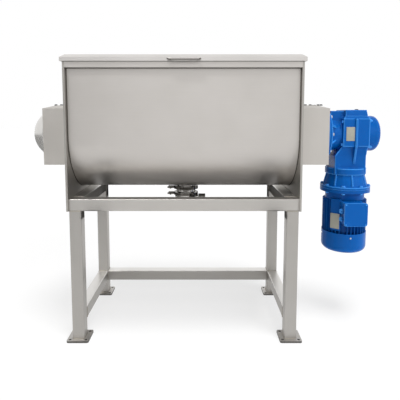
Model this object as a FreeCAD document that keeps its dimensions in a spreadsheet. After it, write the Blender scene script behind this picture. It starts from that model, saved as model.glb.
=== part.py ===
"""Ribbon blender: U-trough batch mixer on a welded stand, side-mounted bevel geared motor.

Frame: X along the shaft (drive end at +X), Y towards the back, Z up, floor at Z = 0,
origin on the floor in the middle of the four feet.  All sizes in millimetres.
"""
import FreeCAD, Part
import Sketcher
import math
import os
import re

DIMS = {
    # stand of square tube
    "tube_size": 60.0, "tube_wall": 3.0, "tube_corner": 5.0, "rail_setback": 10.0,
    "trough_rail_gap": 23.0, "stretcher_bottom": 90.0,
    "foot_size": 110.0, "foot_thickness": 10.0, "foot_hole_offset": 40.0, "foot_hole_radius": 7.0,
    "foot_corner": 10.0,
    # trough
    "shaft_height": 1034.0, "trough_radius": 282.0, "trough_sheet": 4.0, "trough_half_length": 565.0,
    "end_plate_thickness": 10.0, "wall_rise": 354.0, "rim_width": 28.0, "rim_height": 27.0, "rim_sheet": 4.0,
    "gasket_thickness": 2.0, "gasket_width": 18.0, "end_hole_gap": 3.0,
    # lid
    "lid_overhang": 10.0, "lid_lip_height": 18.0, "lid_height": 33.0, "lid_bevel": 20.0, "lid_sheet": 3.0,
    "lid_return": 28.0, "handle_width": 165.0, "handle_reach": 34.0, "handle_bar": 16.0,
    "handle_splay": 14.0, "handle_root": 19.0, "handle_bend": 14.0, "handle_thickness": 6.0,
    "handle_level": 12.0, "handle_slant": 14.0, "handle_offset": 3.0,
    "hinge_reach": 14.0, "hinge_rise": 11.0, "hinge_barrel_radius": 9.0, "hinge_pin_radius": 5.0,
    "hinge_inset": 195.0, "hinge_knuckle": 36.0, "hinge_leaf": 6.0, "hinge_play": 1.0,
    "running_gap": 0.05,
    # shaft and ribbons
    "shaft_radius": 45.0, "shaft_stop": 12.0, "ribbon_end_gap": 13.0, "ribbon_pitch": 552.0,
    "ribbon_thickness": 8.0, "ribbon_clearance": 10.0, "outer_ribbon_width": 46.0,
    "inner_ribbon_radius": 158.0, "inner_ribbon_width": 36.0, "spoke_radius": 13.0, "spoke_inset": 10.0,
    # bearing boxes
    "box_left_length": 165.0, "box_right_length": 179.0, "box_half_depth": 142.0, "box_drop": 159.0,
    "box_rise": 136.0, "box_sheet": 3.0, "box_flange": 14.0, "box_hole_gap": 15.0, "cover_rise": 17.0,
    "cover_hip": 55.0, "cover_seat": 12.0, "dome_base_radius": 130.0, "dome_height": 92.0,
    "dome_sheet": 3.0, "dome_flange": 6.0, "bearing_width": 70.0, "bearing_radius": 92.0,
    "bearing_taper": 14.0, "bearing_foot": 15.0, "bearing_square": 210.0, "seal_width": 24.0,
    "seal_radius": 78.0,
    # bevel gearbox
    "gear_flange_radius": 142.0, "gear_flange_thickness": 20.0, "gear_neck_radius": 88.0,
    "gear_neck_length": 88.0, "gear_length": 142.0, "gear_half_depth": 101.0, "gear_drop": 68.0,
    "gear_rise": 82.0, "gear_crown_height": 13.0, "gear_crown_slope": 13.0, "gear_crown_step": 6.0,
    "gear_waist_height": 50.0, "gear_tail_height": 68.0, "gear_tail_half_depth": 78.0,
    "gear_tail_half_width": 84.0, "gear_waist_flare": 4.0, "gear_cavity_radius": 70.0,
    "input_flange_thickness": 35.0, "input_flange_radius": 109.0, "pinion_offset": 51.0,
    "pinion_room_radius": 45.0, "end_cover_radius": 97.0, "end_cover_length": 66.0,
    "end_cover_round": 26.0, "end_cover_recess": 24.0, "top_cover_height": 34.0,
    "top_cover_half_depth": 82.0, "top_cover_inset": 6.0, "gear_rib": 12.0, "rib_stand_off": 8.0,
    "hump_setback": 32.0, "hump_lap": 16.0, "hump_half_depth": 60.0, "hump_rise": 29.0,
    # motor, axis vertical
    "adapter_height": 64.0, "adapter_top_radius": 102.0, "adapter_low_radius": 119.0,
    "adapter_room_radius": 65.0, "adapter_rib": 9.0, "adapter_rib_rise": 5.0, "adapter_rib_root": 15.0,
    "adapter_rib_count": 8.0, "flange_radius": 133.0, "flange_thickness": 16.5, "motor_neck_height": 32.0,
    "motor_neck_radius": 104.0, "motor_length": 206.0, "motor_shell_radius": 100.0,
    "motor_bore_radius": 82.0, "motor_end_wall": 22.0, "fin_radius": 117.0, "fin_thickness": 3.0,
    "fin_count": 36.0, "fin_stop": 12.0, "motor_shaft_radius": 19.0, "rotor_gap": 12.0,
    "fan_cover_height": 110.0, "fan_cover_overlap": 14.0, "fan_cover_sheet": 3.0, "fan_cover_round": 34.0,
    "vent_radius": 9.0, "vent_outer_ring": 64.0, "vent_outer_count": 12.0, "vent_inner_ring": 34.0,
    "vent_inner_count": 6.0, "fan_gap": 21.0, "fan_lift": 32.0, "fan_height": 46.0, "fan_blade": 4.0,
    "fan_hub_radius": 30.0, "fan_blade_count": 7.0, "pinion_low_radius": 36.0,
    "pinion_high_radius": 24.0, "pinion_height": 30.0,
    "terminal_half_width": 58.0, "terminal_drop": 127.0, "terminal_height": 118.0,
    "terminal_stand_off": 65.0, "terminal_sink": 21.0, "terminal_wall": 5.0, "terminal_lid": 16.0,
    "terminal_lip": 3.0, "terminal_corner": 8.0,
    # outlet with butterfly valve
    "spout_radius": 50.8, "spout_wall": 2.0, "spout_drop": 14.0, "spool_height": 34.0, "valve_height": 50.0,
    "ferrule_radius": 59.5, "ferrule_thickness": 5.0, "clamp_rim": 7.5, "clamp_height": 16.0,
    "clamp_bore": 57.0, "clamp_lug_reach": 98.0, "valve_body_radius": 55.0, "stem_radius": 8.0,
    "disc_gap": 0.6, "disc_thickness": 6.0, "stem_sink": 2.0, "boss_radius": 15.0, "boss_reach": 68.0,
    "hub_radius": 20.0, "hub_gap": 2.0, "hub_length": 38.0, "lever_length": 150.0, "lever_width": 22.0,
    "lever_thickness": 10.0,
}

# places and sizes that follow from the ones above
PLACES = {
    "trough_outer": "trough_radius + trough_sheet",
    "rail_bottom": "shaft_height - trough_outer - trough_rail_gap - tube_size",
    "end_plate_half_depth": "trough_radius + rim_width",
    "stand_half_length": "trough_half_length",
    "stand_half_depth": "end_plate_half_depth - rail_setback",
    "plate_face": "trough_half_length + end_plate_thickness",
    "rim_top": "shaft_height + wall_rise",
    "lid_half_length": "plate_face + lid_overhang",
    "lid_half_depth": "end_plate_half_depth + lid_overhang",
    "hinge_station": "plate_face - hinge_inset",
    "hinge_axis_y": "lid_half_depth + hinge_reach",
    "hinge_axis_z": "rim_top + hinge_rise",
    "outer_ribbon_radius": "trough_radius - ribbon_clearance",
    "ribbon_half_length": "trough_half_length - ribbon_end_gap",
    "spoke_reach": "outer_ribbon_radius - spoke_inset",
    "box_left_end": "plate_face + box_left_length",
    "box_right_end": "plate_face + box_right_length",
    "box_bottom": "shaft_height - box_drop",
    "box_top": "shaft_height + box_rise",
    "gear_left": "box_right_end + gear_neck_length",
    "gear_right": "gear_left + gear_length",
    "shaft_left_end": "-box_left_end + shaft_stop",
    "shaft_right_end": "gear_right - shaft_stop / 2",
    "gear_bottom": "shaft_height - gear_drop",
    "gear_shoulder": "shaft_height + gear_rise",
    "gear_top": "gear_shoulder + gear_crown_height",
    "gear_tail_top": "gear_bottom - gear_waist_height",
    "gear_tail_bottom": "gear_tail_top - gear_tail_height",
    "input_flange_bottom": "gear_tail_bottom - input_flange_thickness",
    "hump_start": "box_right_end + hump_setback",
    "hump_top": "gear_top + hump_rise",
    "motor_axis_x": "gear_left + pinion_offset",
    "adapter_cone_bottom": "input_flange_bottom - adapter_height",
    "flange_joint": "adapter_cone_bottom - flange_thickness",
    "flange_bottom": "flange_joint - flange_thickness",
    "motor_top": "flange_bottom - motor_neck_height",
    "motor_bottom": "motor_top - motor_length",
    "rotor_core_radius": "motor_bore_radius - rotor_gap",
    "fan_cover_radius": "fin_radius + fan_cover_sheet",
    "fan_cover_top": "motor_bottom + fan_cover_overlap",
    "fan_cover_bottom": "fan_cover_top - fan_cover_height",
    "fan_radius": "fin_radius - fan_gap",
    "fan_bottom": "fan_cover_bottom + fan_lift",
    "terminal_bottom": "motor_top - terminal_drop",
    "terminal_front": "fin_radius + terminal_stand_off",
    "terminal_back": "fin_radius - terminal_sink",
    "upper_joint": "shaft_height - trough_outer - spout_drop",
    "lower_joint": "upper_joint - spool_height",
    "valve_bottom": "lower_joint - valve_height",
    "spout_bore": "spout_radius - spout_wall",
    "clamp_radius": "ferrule_radius + clamp_rim",
    "hub_start": "boss_reach + hub_gap",
    "hub_end": "hub_start + hub_length",
    "stem_reach": "hub_end - 2 * hub_gap",
}

doc = FreeCAD.newDocument("ribbon_blender")
sheet = doc.addObject("Spreadsheet::Sheet", "dims")
for row, (alias, value) in enumerate(DIMS.items(), start=1):
    sheet.set("A%d" % row, alias)
    sheet.set("B%d" % row, repr(value))
    sheet.setAlias("B%d" % row, alias)
doc.recompute()

WORD = re.compile(r"[a-z]+(?:_[a-z]+)+")
NODES = {}


def ref(text):
    """Turn the names in an expression into spreadsheet references, places first into their sizes."""
    def swap(found):
        name = found.group(0)
        if name in PLACES:
            return "(" + ref(PLACES[name]) + ")"
        return "dims." + name
    return WORD.sub(swap, str(text))


def bind(obj, prop, text):
    obj.setExpression(prop, ref(text))


def put(obj, x="0", y="0", z="0", axis=(0, 0, 1), angle=0.0):
    """Place an object: turn it by a fixed angle and bind its base point."""
    obj.Placement = FreeCAD.Placement(FreeCAD.Vector(0, 0, 0),
                                      FreeCAD.Rotation(FreeCAD.Vector(*axis), angle))
    for letter, text in zip("xyz", (x, y, z)):
        bind(obj, "Placement.Base." + letter, text)
    return obj


def node(obj, label):
    """Register a finished sub-part under its node name."""
    obj.Label = label
    NODES[label] = obj
    return obj


def block(name, length, width, height, x="0", y="0", z="0"):
    obj = doc.addObject("Part::Box", name)
    for prop, text in (("Length", length), ("Width", width), ("Height", height)):
        bind(obj, prop, text)
    return put(obj, x, y, z)


AXIS_TURN = {"x": ((0, 1, 0), 90.0), "y": ((1, 0, 0), -90.0), "z": ((0, 0, 1), 0.0)}


def rod(name, radius, height, axis="z", x="0", y="0", z="0"):
    obj = doc.addObject("Part::Cylinder", name)
    bind(obj, "Radius", radius)
    bind(obj, "Height", height)
    turn, angle = AXIS_TURN[axis]
    return put(obj, x, y, z, turn, angle)


def cone(name, low, high, height, axis="z", x="0", y="0", z="0"):
    obj = doc.addObject("Part::Cone", name)
    bind(obj, "Radius1", low)
    bind(obj, "Radius2", high)
    bind(obj, "Height", height)
    turn, angle = AXIS_TURN[axis]
    return put(obj, x, y, z, turn, angle)


def wedge(name, low, high, height, z="0"):
    """Hip block between two levels; low and high are (x start, x end, half depth)."""
    obj = doc.addObject("Part::Wedge", name)
    for prop, text in (("Xmin", low[0]), ("Xmax", low[1]), ("Zmin", "-(%s)" % low[2]),
                       ("Zmax", low[2]), ("Ymin", "0"), ("Ymax", height), ("X2min", high[0]),
                       ("X2max", high[1]), ("Z2min", "-(%s)" % high[2]), ("Z2max", high[2])):
        bind(obj, prop, text)
    return put(obj, "0", "0", z, (1, 0, 0), 90.0)


def hip(name, half_x, half_y, height, z="0"):
    """Lid-shaped wedge: drawn in by the lid bevel on all four sides."""
    return wedge(name, ("-" + half_x, half_x, half_y),
                 ("-%s + lid_bevel" % half_x, "%s - lid_bevel" % half_x, half_y + " - lid_bevel"), height, z)


def fuse(name, parts):
    obj = doc.addObject("Part::MultiFuse", name)
    obj.Shapes = parts
    obj.Refine = True
    return obj


def cut(name, base, *tools):
    """Subtract the tools from the base, one boolean for all of them."""
    obj = doc.addObject("Part::Cut", name)
    obj.Base = base
    obj.Tool = tools[0] if len(tools) == 1 else fuse(name + "_tools", list(tools))
    return obj


def plane(body, role):
    """Find one of the body's own origin planes by its role."""
    return next(f for f in body.Origin.OriginFeatures if getattr(f, "Role", "") == role)


def outline(body, name, role, points):
    """Closed straight-sided sketch whose corners are bound to expressions."""
    sketch = body.newObject("Sketcher::SketchObject", name)
    sketch.AttachmentSupport = (plane(body, role), [""])
    sketch.MapMode = "FlatFace"
    count = len(points)
    seeds = [FreeCAD.Vector(50 * math.cos(2 * math.pi * i / count),
                            50 * math.sin(2 * math.pi * i / count), 0) for i in range(count)]
    for i in range(count):
        sketch.addGeometry(Part.LineSegment(seeds[i], seeds[(i + 1) % count]), False)
    for i in range(count):
        sketch.addConstraint(Sketcher.Constraint("Coincident", i, 2, (i + 1) % count, 1))
    for i, (across, up) in enumerate(points):
        for kind, text, seed in (("DistanceX", across, seeds[i].x), ("DistanceY", up, seeds[i].y)):
            index = sketch.addConstraint(Sketcher.Constraint(kind, -1, 1, i, 1, seed))
            bind(sketch, "Constraints[%d]" % index, text)
    return sketch


def body(name):
    return doc.addObject("PartDesign::Body", name)


def pad(owner, sketch, name, length, both=False):
    feature = owner.newObject("PartDesign::Pad", name)
    feature.Profile = sketch
    bind(feature, "Length", length)
    if both:
        feature.Midplane = True
    return feature


def revolve(owner, sketch, name, axis="V_Axis"):
    feature = owner.newObject("PartDesign::Revolution", name)
    feature.Profile = sketch
    feature.ReferenceAxis = (sketch, [axis])
    feature.Angle = 360.0
    return feature


def rounded_block(name, length, width, height, x="0", y="0", z="0", axis="z", radius=0.0):
    """Block whose four edges along one axis are rounded."""
    sharp = block(name + "_sharp", length, width, height, x, y, z)
    doc.recompute()
    rounded = doc.addObject("Part::Fillet", name)
    rounded.Base = sharp
    rounded.Edges = [(number, radius, radius) for number, edge in enumerate(sharp.Shape.Edges, start=1)
                     if abs(getattr(edge.tangentAt(edge.FirstParameter), axis)) > 0.99]
    return rounded


# ------------------------------------------------------------------ stand
def square_tube(name, length, axis, capped=False):
    """Hollow square tube with rounded corners along one axis; capped closes its far end."""
    along = {"x": (length, "tube_size", "tube_size"), "y": ("tube_size", length, "tube_size"),
             "z": ("tube_size", "tube_size", length)}[axis]
    thin = "tube_size - 2 * tube_wall"
    inner = {"x": (length + " + 2", thin, thin), "y": (thin, length + " + 2", thin),
             "z": (thin, thin, length + " + 2")}[axis]
    start = ["-1" if letter == axis else "tube_wall" for letter in "xyz"]
    if capped:
        start["xyz".index(axis)] = "-2 - tube_wall"
    skin = rounded_block(name + "_skin", *along, axis=axis, radius=DIMS["tube_corner"])
    return cut(name, skin, block(name + "_bore", *inner, *start))


def stand():
    for side, edge in (("left", "-stand_half_length"), ("right", "stand_half_length - tube_size")):
        for end, depth, top in (("front", "-stand_half_depth", "rail_bottom"),
                                ("rear", "stand_half_depth - tube_size", "rail_bottom + tube_size")):
            leg = square_tube("%s_leg_%s" % (end, side), top + " - foot_thickness", "z", end == "rear")
            node(put(leg, edge, depth, "foot_thickness"), "%s_leg_%s" % (end, side))
            foot_plate("%s_foot_%s" % (end, side), edge + " + tube_size / 2", depth + " + tube_size / 2")
        clear = "2 * stand_half_depth - 2 * tube_size"
        for kind, level in (("top_rail", "rail_bottom"), ("stretcher", "stretcher_bottom")):
            bar = square_tube("%s_%s" % (kind, side), clear, "y")
            node(put(bar, edge, "-stand_half_depth + tube_size", level), "%s_%s" % (kind, side))
    front = square_tube("top_rail_front", "2 * stand_half_length", "x")
    node(put(front, "-stand_half_length", "-stand_half_depth", "rail_bottom"), "top_rail_front")
    back = square_tube("stretcher_rear", "2 * stand_half_length - 2 * tube_size", "x")
    node(put(back, "-stand_half_length + tube_size", "stand_half_depth - tube_size", "stretcher_bottom"),
         "stretcher_rear")


def foot_plate(name, x, y):
    """Anchor plate with four bolt holes, corners rounded by a fillet."""
    owner = body(name)
    half = "foot_size / 2"
    corners = [("-" + half, "-" + half), (half, "-" + half), (half, half), ("-" + half, half)]
    base = pad(owner, outline(owner, name + "_square", "XY_Plane", corners), name + "_pad", "foot_thickness")
    holes = owner.newObject("Sketcher::SketchObject", name + "_holes")
    holes.AttachmentSupport = (plane(owner, "XY_Plane"), [""])
    holes.MapMode = "FlatFace"
    for sx, sy in ((-1, -1), (1, -1), (1, 1), (-1, 1)):
        ring = holes.addGeometry(Part.Circle(FreeCAD.Vector(40 * sx, 40 * sy, 0), FreeCAD.Vector(0, 0, 1), 7))
        size = holes.addConstraint(Sketcher.Constraint("Radius", ring, 7.0))
        bind(holes, "Constraints[%d]" % size, "foot_hole_radius")
        for kind, sign in (("DistanceX", sx), ("DistanceY", sy)):
            index = holes.addConstraint(Sketcher.Constraint(kind, -1, 1, ring, 3, 40.0 * sign))
            bind(holes, "Constraints[%d]" % index, "foot_hole_offset * %d" % sign)
    drilled = owner.newObject("PartDesign::Pocket", name + "_drilled")
    drilled.Profile = holes
    drilled.Type = 1
    drilled.Reversed = True
    doc.recompute()
    rounded = owner.newObject("PartDesign::Fillet", name + "_rounded")
    upright = ["Edge%d" % (i + 1) for i, edge in enumerate(drilled.Shape.Edges)
               if len(edge.Vertexes) == 2 and edge.Curve.TypeId == "Part::GeomLine"
               and abs(edge.tangentAt(edge.FirstParameter).z) > 0.99
               and math.hypot(edge.CenterOfMass.x, edge.CenterOfMass.y) > 70]
    rounded.Base = (drilled, upright)
    bind(rounded, "Radius", "foot_corner")
    node(put(owner, x, y, "0"), name)


# ------------------------------------------------------------------ trough
def trough():
    length = "2 * trough_half_length"
    outer = "trough_outer"
    rise = "rim_top - rim_height - shaft_height"
    skin = fuse("trough_skin", [
        rod("trough_skin_round", outer, length, "x"),
        block("trough_skin_sides", length, "2 * " + outer, rise, "0", "-" + outer)])
    void = fuse("trough_void", [
        rod("trough_void_round", "trough_radius", length + " + 2", "x", "-1"),
        block("trough_void_sides", length + " + 2", "2 * trough_radius", rise + " + 300", "-1",
              "-trough_radius")])
    port = rod("trough_port", "spout_bore", "trough_radius + 50", "z",
               "trough_half_length", "0", "-trough_radius - 50")
    shell = put(cut("trough_sheet_bent", skin, void, port), "-trough_half_length", "0", "shaft_height")
    node(fuse("trough_shell", [shell] + [rim(end, turn) for end, turn in (("front", 0.0), ("rear", 180.0))]),
         "trough_shell")
    for side, turn in (("left", 180.0), ("right", 0.0)):
        end_plate("end_plate_" + side, turn)
    ring = cut("lid_gasket",
               block("gasket_outer", "2 * plate_face",
                     "2 * end_plate_half_depth", "gasket_thickness",
                     "-plate_face", "-end_plate_half_depth"),
               block("gasket_inner", "2 * (plate_face - gasket_width)",
                     "2 * (end_plate_half_depth - gasket_width)", "gasket_thickness + 2",
                     "-plate_face + gasket_width",
                     "-end_plate_half_depth + gasket_width", "-1"))
    node(put(ring, "0", "0", "rim_top"), "lid_gasket")


def end_plate(name, turn):
    """Flat end of the trough with the shaft hole, drawn in the YZ plane."""
    owner = body(name)
    half = "end_plate_half_depth"
    low = "rail_bottom - shaft_height"
    high = "rim_top - shaft_height"
    shape = outline(owner, name + "_sheet", "YZ_Plane",
                    [("-" + half, low), (half, low), (half, high), ("-" + half, high)])
    pad(owner, shape, name + "_pad", "end_plate_thickness")
    hole = owner.newObject("Sketcher::SketchObject", name + "_hole")
    hole.AttachmentSupport = (plane(owner, "YZ_Plane"), [""])
    hole.MapMode = "FlatFace"
    ring = hole.addGeometry(Part.Circle(FreeCAD.Vector(0, 0, 0), FreeCAD.Vector(0, 0, 1), 50))
    hole.addConstraint(Sketcher.Constraint("Coincident", ring, 3, -1, 1))
    size = hole.addConstraint(Sketcher.Constraint("Radius", ring, 50.0))
    bind(hole, "Constraints[%d]" % size, "shaft_radius + end_hole_gap")
    drilled = owner.newObject("PartDesign::Pocket", name + "_drilled")
    drilled.Profile = hole
    drilled.Type = 1
    drilled.Reversed = True
    start = "trough_half_length" if turn == 0.0 else "-trough_half_length"
    node(put(owner, start, "0", "shaft_height", (0, 0, 1), turn), name)


def rim(end, turn):
    """Folded edge along one side of the trough mouth."""
    depth = "end_plate_half_depth - trough_radius"
    owner = body("rim_" + end)
    section = outline(owner, "rim_%s_section" % end, "YZ_Plane", [
        ("0", "-rim_height"), ("rim_sheet", "-rim_height"), ("rim_sheet", "-rim_sheet"),
        (depth + " - rim_sheet", "-rim_sheet"), (depth + " - rim_sheet", "-rim_height"),
        (depth, "-rim_height"), (depth, "0"), ("0", "0")])
    pad(owner, section, "rim_%s_fold" % end, "2 * trough_half_length", both=True)
    sign = "-" if turn == 0.0 else ""
    return put(owner, "0", sign + "end_plate_half_depth", "rim_top", (0, 0, 1), turn)


# ------------------------------------------------------------------ lid and hinges
def lid():
    half_x = "lid_half_length"
    half_y = "lid_half_depth"
    slope = "(lid_height - lid_lip_height)"
    skin = fuse("lid_skin", [
        block("lid_skirt", "2 * " + half_x, "2 * " + half_y, "lid_lip_height", "-" + half_x, "-" + half_y),
        hip("lid_hip", half_x, half_y, slope, "lid_lip_height")])
    in_x = "(lid_half_length - lid_sheet)"
    in_y = "(lid_half_depth - lid_sheet)"
    void = fuse("lid_void", [
        block("lid_skirt_void", "2 * " + in_x, "2 * " + in_y, "lid_lip_height - lid_sheet", "-" + in_x,
              "-" + in_y, "lid_sheet"),
        hip("lid_hip_void", in_x, in_y, slope + " - lid_sheet", "lid_lip_height"),
        block("lid_mouth", "2 * (lid_half_length - lid_return)", "2 * (lid_half_depth - lid_return)",
              "lid_lip_height", "-lid_half_length + lid_return", "-lid_half_depth + lid_return", "-5")])
    axis_z = "hinge_axis_z - rim_top - gasket_thickness"
    solids = [cut("lid_tray", skin, void)]
    bores = []
    for side, start in (("left", "-hinge_station"), ("right", "hinge_station - hinge_knuckle")):
        solids.append(rod("lid_barrel_" + side, "hinge_barrel_radius", "hinge_knuckle", "x", start,
                          "hinge_axis_y", axis_z))
        solids.append(block("lid_leaf_" + side, "hinge_knuckle", "hinge_reach + 1", "hinge_leaf",
                            start, "lid_half_depth - 1", axis_z + " - hinge_leaf / 2"))
        bores.append(rod("lid_bore_" + side, "hinge_pin_radius + running_gap", "hinge_knuckle + 2", "x",
                         start + " - 1", "hinge_axis_y", axis_z))
    panel = cut("lid_panel", fuse("lid_welded", solids), *bores)
    node(put(panel, "0", "0", "rim_top + gasket_thickness"), "lid_panel")
    grip()
    for side, sign in (("left", "-"), ("right", "")):
        hinge("hinge_" + side, side)


def grip():
    """Bent flat bar on the front lip, drooping towards the user."""
    owner = body("lid_handle")
    half = "handle_width / 2"
    inner = "%s - handle_splay - handle_bend" % half
    shape = outline(owner, "handle_path", "XY_Plane", [
        ("-%s" % half, "0"), ("-%s + handle_splay" % half, "-handle_reach"),
        ("%s - handle_splay" % half, "-handle_reach"), (half, "0"), ("%s - handle_root" % half, "0"),
        (inner, "-handle_reach + handle_bar"), ("-(%s)" % inner, "-handle_reach + handle_bar"),
        ("-%s + handle_root" % half, "0")])
    pad(owner, shape, "handle_bar_pad", "handle_thickness", both=True)
    put(owner, "handle_offset", "-lid_half_depth + lid_sheet / 2",
        "rim_top + gasket_thickness + handle_level", (1, 0, 0), DIMS["handle_slant"])
    trimmed = cut("lid_handle_trimmed", owner,
                  block("handle_trim", "400", "60", "60", "-200", "-lid_half_depth", "rim_top - 20"))
    node(trimmed, "lid_handle")


def hinge(name, side):
    """Fixed hinge half: leaf on the rear rim, arm and post up to the barrel, and the pin."""
    step = "(hinge_knuckle + hinge_play)"
    start = "-hinge_station - " + step if side == "left" else "hinge_station + hinge_play"
    pin_start = start if side == "left" else "hinge_station - hinge_knuckle"
    face = "end_plate_half_depth"
    solids = [
        block(name + "_leaf", "hinge_knuckle", "hinge_leaf", "rim_height - rim_sheet / 2", start, face,
              "-hinge_rise - rim_height + rim_sheet / 2"),
        block(name + "_arm", "hinge_knuckle", "hinge_axis_y - %s + hinge_leaf" % face, "hinge_leaf", start,
              face, "-hinge_rise - hinge_leaf"),
        block(name + "_post", "hinge_knuckle", "2 * hinge_leaf", "hinge_rise + hinge_leaf", start,
              "hinge_axis_y - hinge_leaf", "-hinge_rise - hinge_leaf"),
        rod(name + "_barrel", "hinge_barrel_radius", "hinge_knuckle", "x", start, "hinge_axis_y"),
        rod(name + "_pin", "hinge_pin_radius", "2 * hinge_knuckle + hinge_play", "x", pin_start,
            "hinge_axis_y")]
    node(put(fuse(name, solids), "0", "0", "hinge_axis_z"), name)


# ------------------------------------------------------------------ agitator
def ribbon_half(name, radius, width, left_handed, start_angle, mirror):
    """One half-length helical ribbon: a flat bar section carried along a helix about the shaft."""
    owner = body(name)
    thin = "ribbon_thickness / 2"
    section = outline(owner, name + "_section", "XZ_Plane", [
        (radius + " - " + width, "-" + thin), (radius, "-" + thin), (radius, thin),
        (radius + " - " + width, thin)])
    coil = owner.newObject("PartDesign::AdditiveHelix", name + "_coil")
    coil.Profile = section
    coil.ReferenceAxis = (section, ["V_Axis"])
    coil.Mode = 0
    bind(coil, "Pitch", "ribbon_pitch")
    bind(coil, "Height", "ribbon_half_length")
    coil.LeftHanded = left_handed
    turn = FreeCAD.Rotation(FreeCAD.Vector(0, 1, 0), -90.0 if mirror else 90.0)
    spin = FreeCAD.Rotation(FreeCAD.Vector(1, 0, 0), start_angle)
    owner.Placement = FreeCAD.Placement(FreeCAD.Vector(0, 0, 0), spin.multiply(turn))
    bind(owner, "Placement.Base.z", "shaft_height")
    return owner


def agitator():
    shaft = rod("main_shaft_bar", "shaft_radius", "shaft_right_end - shaft_left_end", "x")
    ribbons = {}
    for kind, radius, width, hand, start in (
            ("outer", "outer_ribbon_radius", "outer_ribbon_width", False, 0.0),
            ("inner", "inner_ribbon_radius", "inner_ribbon_width", True, 90.0)):
        for letter, offset in (("a", 0.0), ("b", 180.0)):
            halves = [
                ribbon_half("%s_%s_right" % (kind, letter), radius, width, hand, start + offset, False),
                ribbon_half("%s_%s_left" % (kind, letter), radius, width, not hand,
                            start + offset + 180.0, True)]
            label = "%s_ribbon_%s" % (kind, letter)
            ribbons[label] = node(fuse(label, halves), label)
    spokes(shaft, ribbons)


def spokes(shaft, ribbons):
    """Radial bars through the shaft; each is slotted where a ribbon passes through it."""
    slots = fuse("spoke_slots", list(ribbons.values()))
    holes = []
    for side, sign in (("left", -1), ("right", 1)):
        for step in range(4):
            fraction = (2 * step + 1) / 8.0
            bar = doc.addObject("Part::Cylinder", "spoke_bar_%s_%d" % (side, step + 1))
            bind(bar, "Radius", "spoke_radius")
            bind(bar, "Height", "2 * spoke_reach")
            direction = spoke_direction(fraction)
            turn = FreeCAD.Rotation(FreeCAD.Vector(0, 0, 1), direction)
            bar.Placement = FreeCAD.Placement(FreeCAD.Vector(0, 0, 0), turn)
            station = "%d * ribbon_pitch * %.3f" % (sign, fraction)
            bind(bar, "Placement.Base.x", station)
            bind(bar, "Placement.Base.y", "-spoke_reach * %.6f" % direction.y)
            bind(bar, "Placement.Base.z", "shaft_height - spoke_reach * %.6f" % direction.z)
            holes.append(bar)
            label = "spoke_%s_%d" % (side, step + 1)
            node(cut(label, bar, slots), label)
    place = put(shaft, "shaft_left_end", "0", "shaft_height", (0, 1, 0), 90.0)
    node(cut("main_shaft", place, *holes), "main_shaft")


def spoke_direction(fraction):
    """Direction of the outer ribbon seen from the shaft, a fraction of one pitch from the middle."""
    turn = 2 * math.pi * fraction
    return FreeCAD.Vector(0, math.sin(turn), -math.cos(turn))


# ------------------------------------------------------------------ bearing boxes
def bearing_boxes():
    for side, length, turn in (("left", "box_left_length", 180.0), ("right", "box_right_length", 0.0)):
        start = "-plate_face" if side == "left" else "plate_face"
        bearing_box(side, length, start, turn)
        box_cover(side, length, start, turn)
        flange_bearing(side, length, start, turn)
        seal = cut("shaft_seal_" + side, rod("seal_skin_" + side, "seal_radius", "seal_width", "x"),
                   rod("seal_bore_" + side, "shaft_radius + running_gap", "seal_width + 2", "x", "-1"))
        node(put(seal, start, "0", "shaft_height", (0, 0, 1), turn), "shaft_seal_" + side)
    dome()


def bearing_box(side, length, start, turn):
    """Sheet housing, open towards the trough end and at the top, with a turned-in top edge."""
    rise = "box_top - box_bottom"
    skin = block("box_skin_" + side, length, "2 * box_half_depth", rise, "0", "-box_half_depth")
    room = block("box_room_" + side, length + " - box_sheet + 1", "2 * (box_half_depth - box_sheet)",
                 rise + " - 2 * box_sheet", "-1", "-box_half_depth + box_sheet", "box_sheet")
    mouth = block("box_mouth_" + side, length + " - box_flange + 1", "2 * (box_half_depth - box_flange)",
                  rise, "-1", "-box_half_depth + box_flange", "box_sheet")
    hole = rod("box_hole_" + side, "shaft_radius + box_hole_gap", length + " + 20", "x", "-10", "0",
               "shaft_height - box_bottom")
    housing = cut("bearing_box_" + side, skin, room, mouth, hole)
    node(put(housing, start, "0", "box_bottom", (0, 0, 1), turn), "bearing_box_" + side)


def box_cover(side, length, start, turn):
    """Hipped sheet cover on top of a bearing box."""
    high = (length + " - cover_hip", "box_half_depth - cover_hip")
    skin = wedge("cover_skin_" + side, ("0", length, "box_half_depth"), ("0", high[0], high[1]), "cover_rise")
    room = wedge("cover_room_" + side, ("box_sheet", length + " - cover_seat", "box_half_depth - cover_seat"),
                 ("box_sheet", high[0] + " - box_sheet", high[1] + " - box_sheet"), "cover_rise - box_sheet",
                 "-0.01")
    node(put(cut("box_cover_" + side, skin, room), start, "0", "box_top", (0, 0, 1), turn),
         "box_cover_" + side)


def flange_bearing(side, length, start, turn):
    """Square-flange bearing unit bolted to the inside of the box end wall."""
    seat = length + " - box_sheet"
    solids = [block("bearing_foot_" + side, "bearing_foot", "bearing_square", "bearing_square",
                    seat + " - bearing_foot", "-bearing_square / 2", "-bearing_square / 2"),
              cone("bearing_hub_" + side, "bearing_radius - bearing_taper", "bearing_radius",
                   "bearing_width - bearing_foot", "x", seat + " - bearing_width")]
    bore = rod("bearing_bore_" + side, "shaft_radius + running_gap", "bearing_width + 2", "x",
               seat + " - bearing_width - 1")
    unit = cut("bearing_" + side, fuse("bearing_unit_" + side, solids), bore)
    node(put(unit, start, "0", "shaft_height", (0, 0, 1), turn), "bearing_" + side)


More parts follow.
